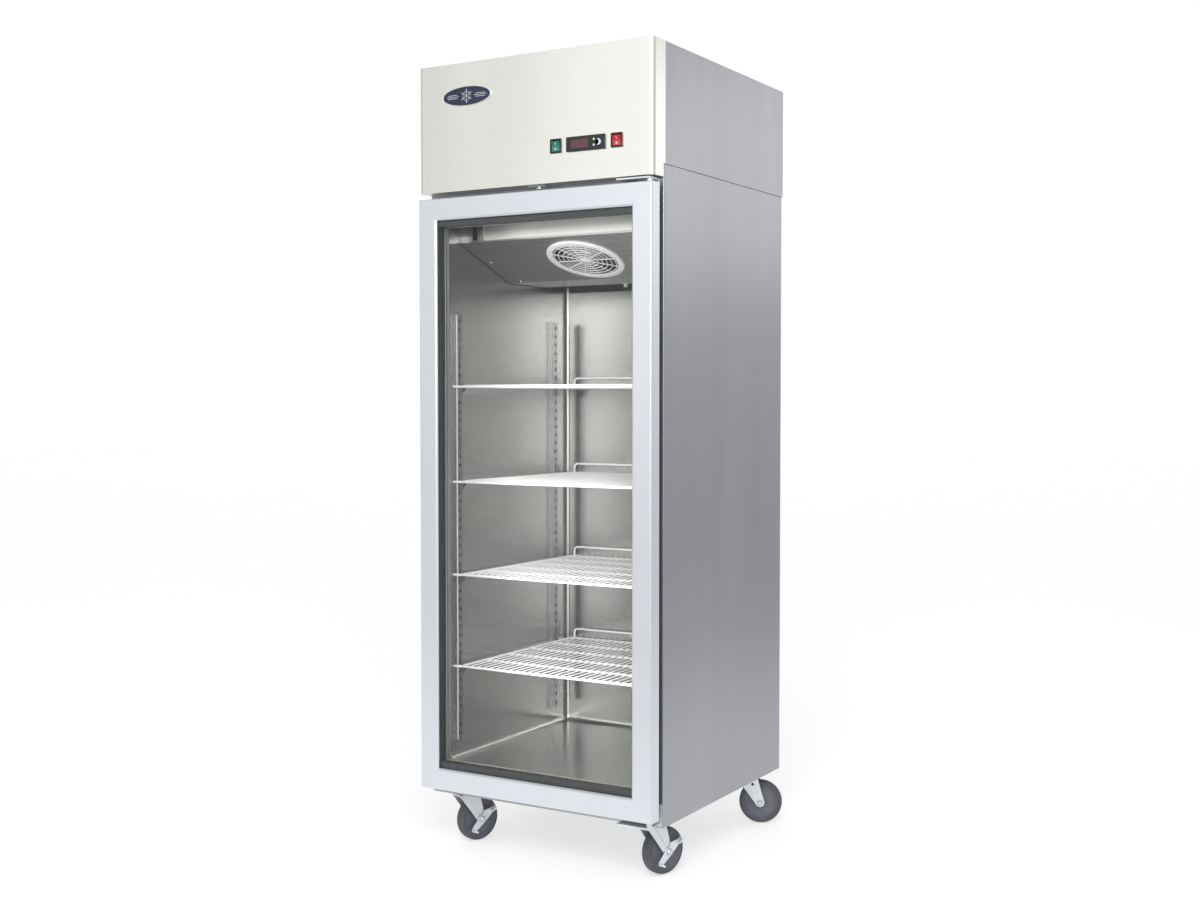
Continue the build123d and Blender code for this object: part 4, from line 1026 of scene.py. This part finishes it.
# ---- all pieces ---------------------------------------------------------------------------
def build_pieces():
    cabinet_shell()
    rear_louvres()
    panel_screws()
    header()
    display_digits()
    rockers()
    control_buttons()
    badge()
    door()
    door_trim()
    standards_and_clips()
    for number in range(1, 5):
        shelf(f"shelf_{number}")
    light_strip()
    fan_guard()
    axial_fan("evaporator_fan", Vector(FAN_SEAT) - COVER_NORMAL * 24 * MM, COVER_NORMAL, 5, 24 * MM, "blade",
              34 * MM)
    axial_fan("condenser_fan", mm(110, -196, 1990), (0, -1, 0), 5, 26 * MM, "black", 32 * MM)
    cover_screws()
    machine_space()
    casters()


# ---- studio -------------------------------------------------------------------------------
def studio_floor():
    """Pale floor that also glows, but hardly so beyond the front right, where the door and side mirror it.

    Each ramp is a ground direction, the glow at its near and far end, and where it starts and ends.
    """
    bm = bmesh.new()
    bm.faces.new([bm.verts.new((x, y, -0.4 * MM)) for x, y in rectangle(60, 60)])
    floor = new_object("studio_floor", mesh_from(bm))
    material = bpy.data.materials.new("studio_floor")
    material.use_nodes = True
    tree = material.node_tree
    shader = tree.nodes["Principled BSDF"]
    shader.inputs["Base Color"].default_value = (0.58, 0.58, 0.58, 1)
    shader.inputs["Roughness"].default_value = 0.75
    place = tree.nodes.new("ShaderNodeTexCoord")
    glow = None
    for axis, dark, bright, start, end in (((-0.511, 0.86, 0), 0.04, 0.52, -1.6, -0.9),
                                           ((-0.989, -0.151, 0), 0.3, 1.0, -2.3, -1.6)):
        ramp = ranged(material, dot(material, place.outputs["Object"], axis), dark, bright, start, end)
        glow = combined(material, "MULTIPLY", glow, ramp)
    tree.links.new(glow, shader.inputs["Emission Strength"])
    shader.inputs["Emission Color"].default_value = (1, 1, 1, 1)
    floor.data.materials.append(material)


def studio_world():
    """Three soft bright patches round the horizon, each with its azimuth, its edge and its brightness.

    They are the backdrop, a light at the front right that the header and door mirror, and a faint one at the
    rear right that the side panel mirrors.
    """
    world = bpy.data.worlds.new("studio")
    bpy.context.scene.world = world
    world.use_nodes = True
    tree = world.node_tree
    background = tree.nodes["Background"]
    place = tree.nodes.new("ShaderNodeTexCoord")
    strength = None
    for azimuth, start, end, low, high in ((121, 0.72, 0.9, 0.6, 1.02), (285, 0.54, 0.8, 0.0, 1.1),
                                           (48, 0.7, 0.95, 0.0, 0.2)):
        axis = (cos(radians(azimuth)), sin(radians(azimuth)), 0)
        lobe = ranged(world, dot(world, place.outputs["Generated"], axis), low, high, start, end)
        lobe.node.interpolation_type = "SMOOTHSTEP"
        strength = combined(world, "ADD", strength, lobe)
    tree.links.new(strength, background.inputs["Strength"])
    background.inputs["Color"].default_value = (1, 1, 1, 1)


def softbox(name, origin, target, width, height, power):
    light = bpy.data.lights.new(name, "AREA")
    light.shape = "RECTANGLE"
    light.size, light.size_y = width, height
    light.energy = power
    new_object(name, light).matrix_world = facing(origin, Vector(origin) - Vector(target), (0, 0.001, 1))


def studio_lights():
    softbox("key", (1.5, -3.0, 2.7), (0, -0.2, 1.3), 1.4, 1.4, 55)
    softbox("right_rim", (2.3, 3.4, 2.5), (0.36, 0.0, 1.4), 1.8, 1.2, 6)
    softbox("inside", (0.07, -0.345, 0.98), (0.07, 0.2, 0.98), 0.42, 1.45, 4.3)


def studio_camera():
    camera = new_object("camera", bpy.data.cameras.new("camera"))
    camera.data.lens = 44.56
    camera.data.sensor_width = 36
    camera.location = (2.1476, -3.6537, 1.2445)
    camera.rotation_euler = (radians(88.075), 0, radians(30.72))
    bpy.context.scene.camera = camera


build_pieces()
studio_floor()
studio_world()
studio_lights()
studio_camera()
bpy.context.scene.view_settings.view_transform = "Standard"
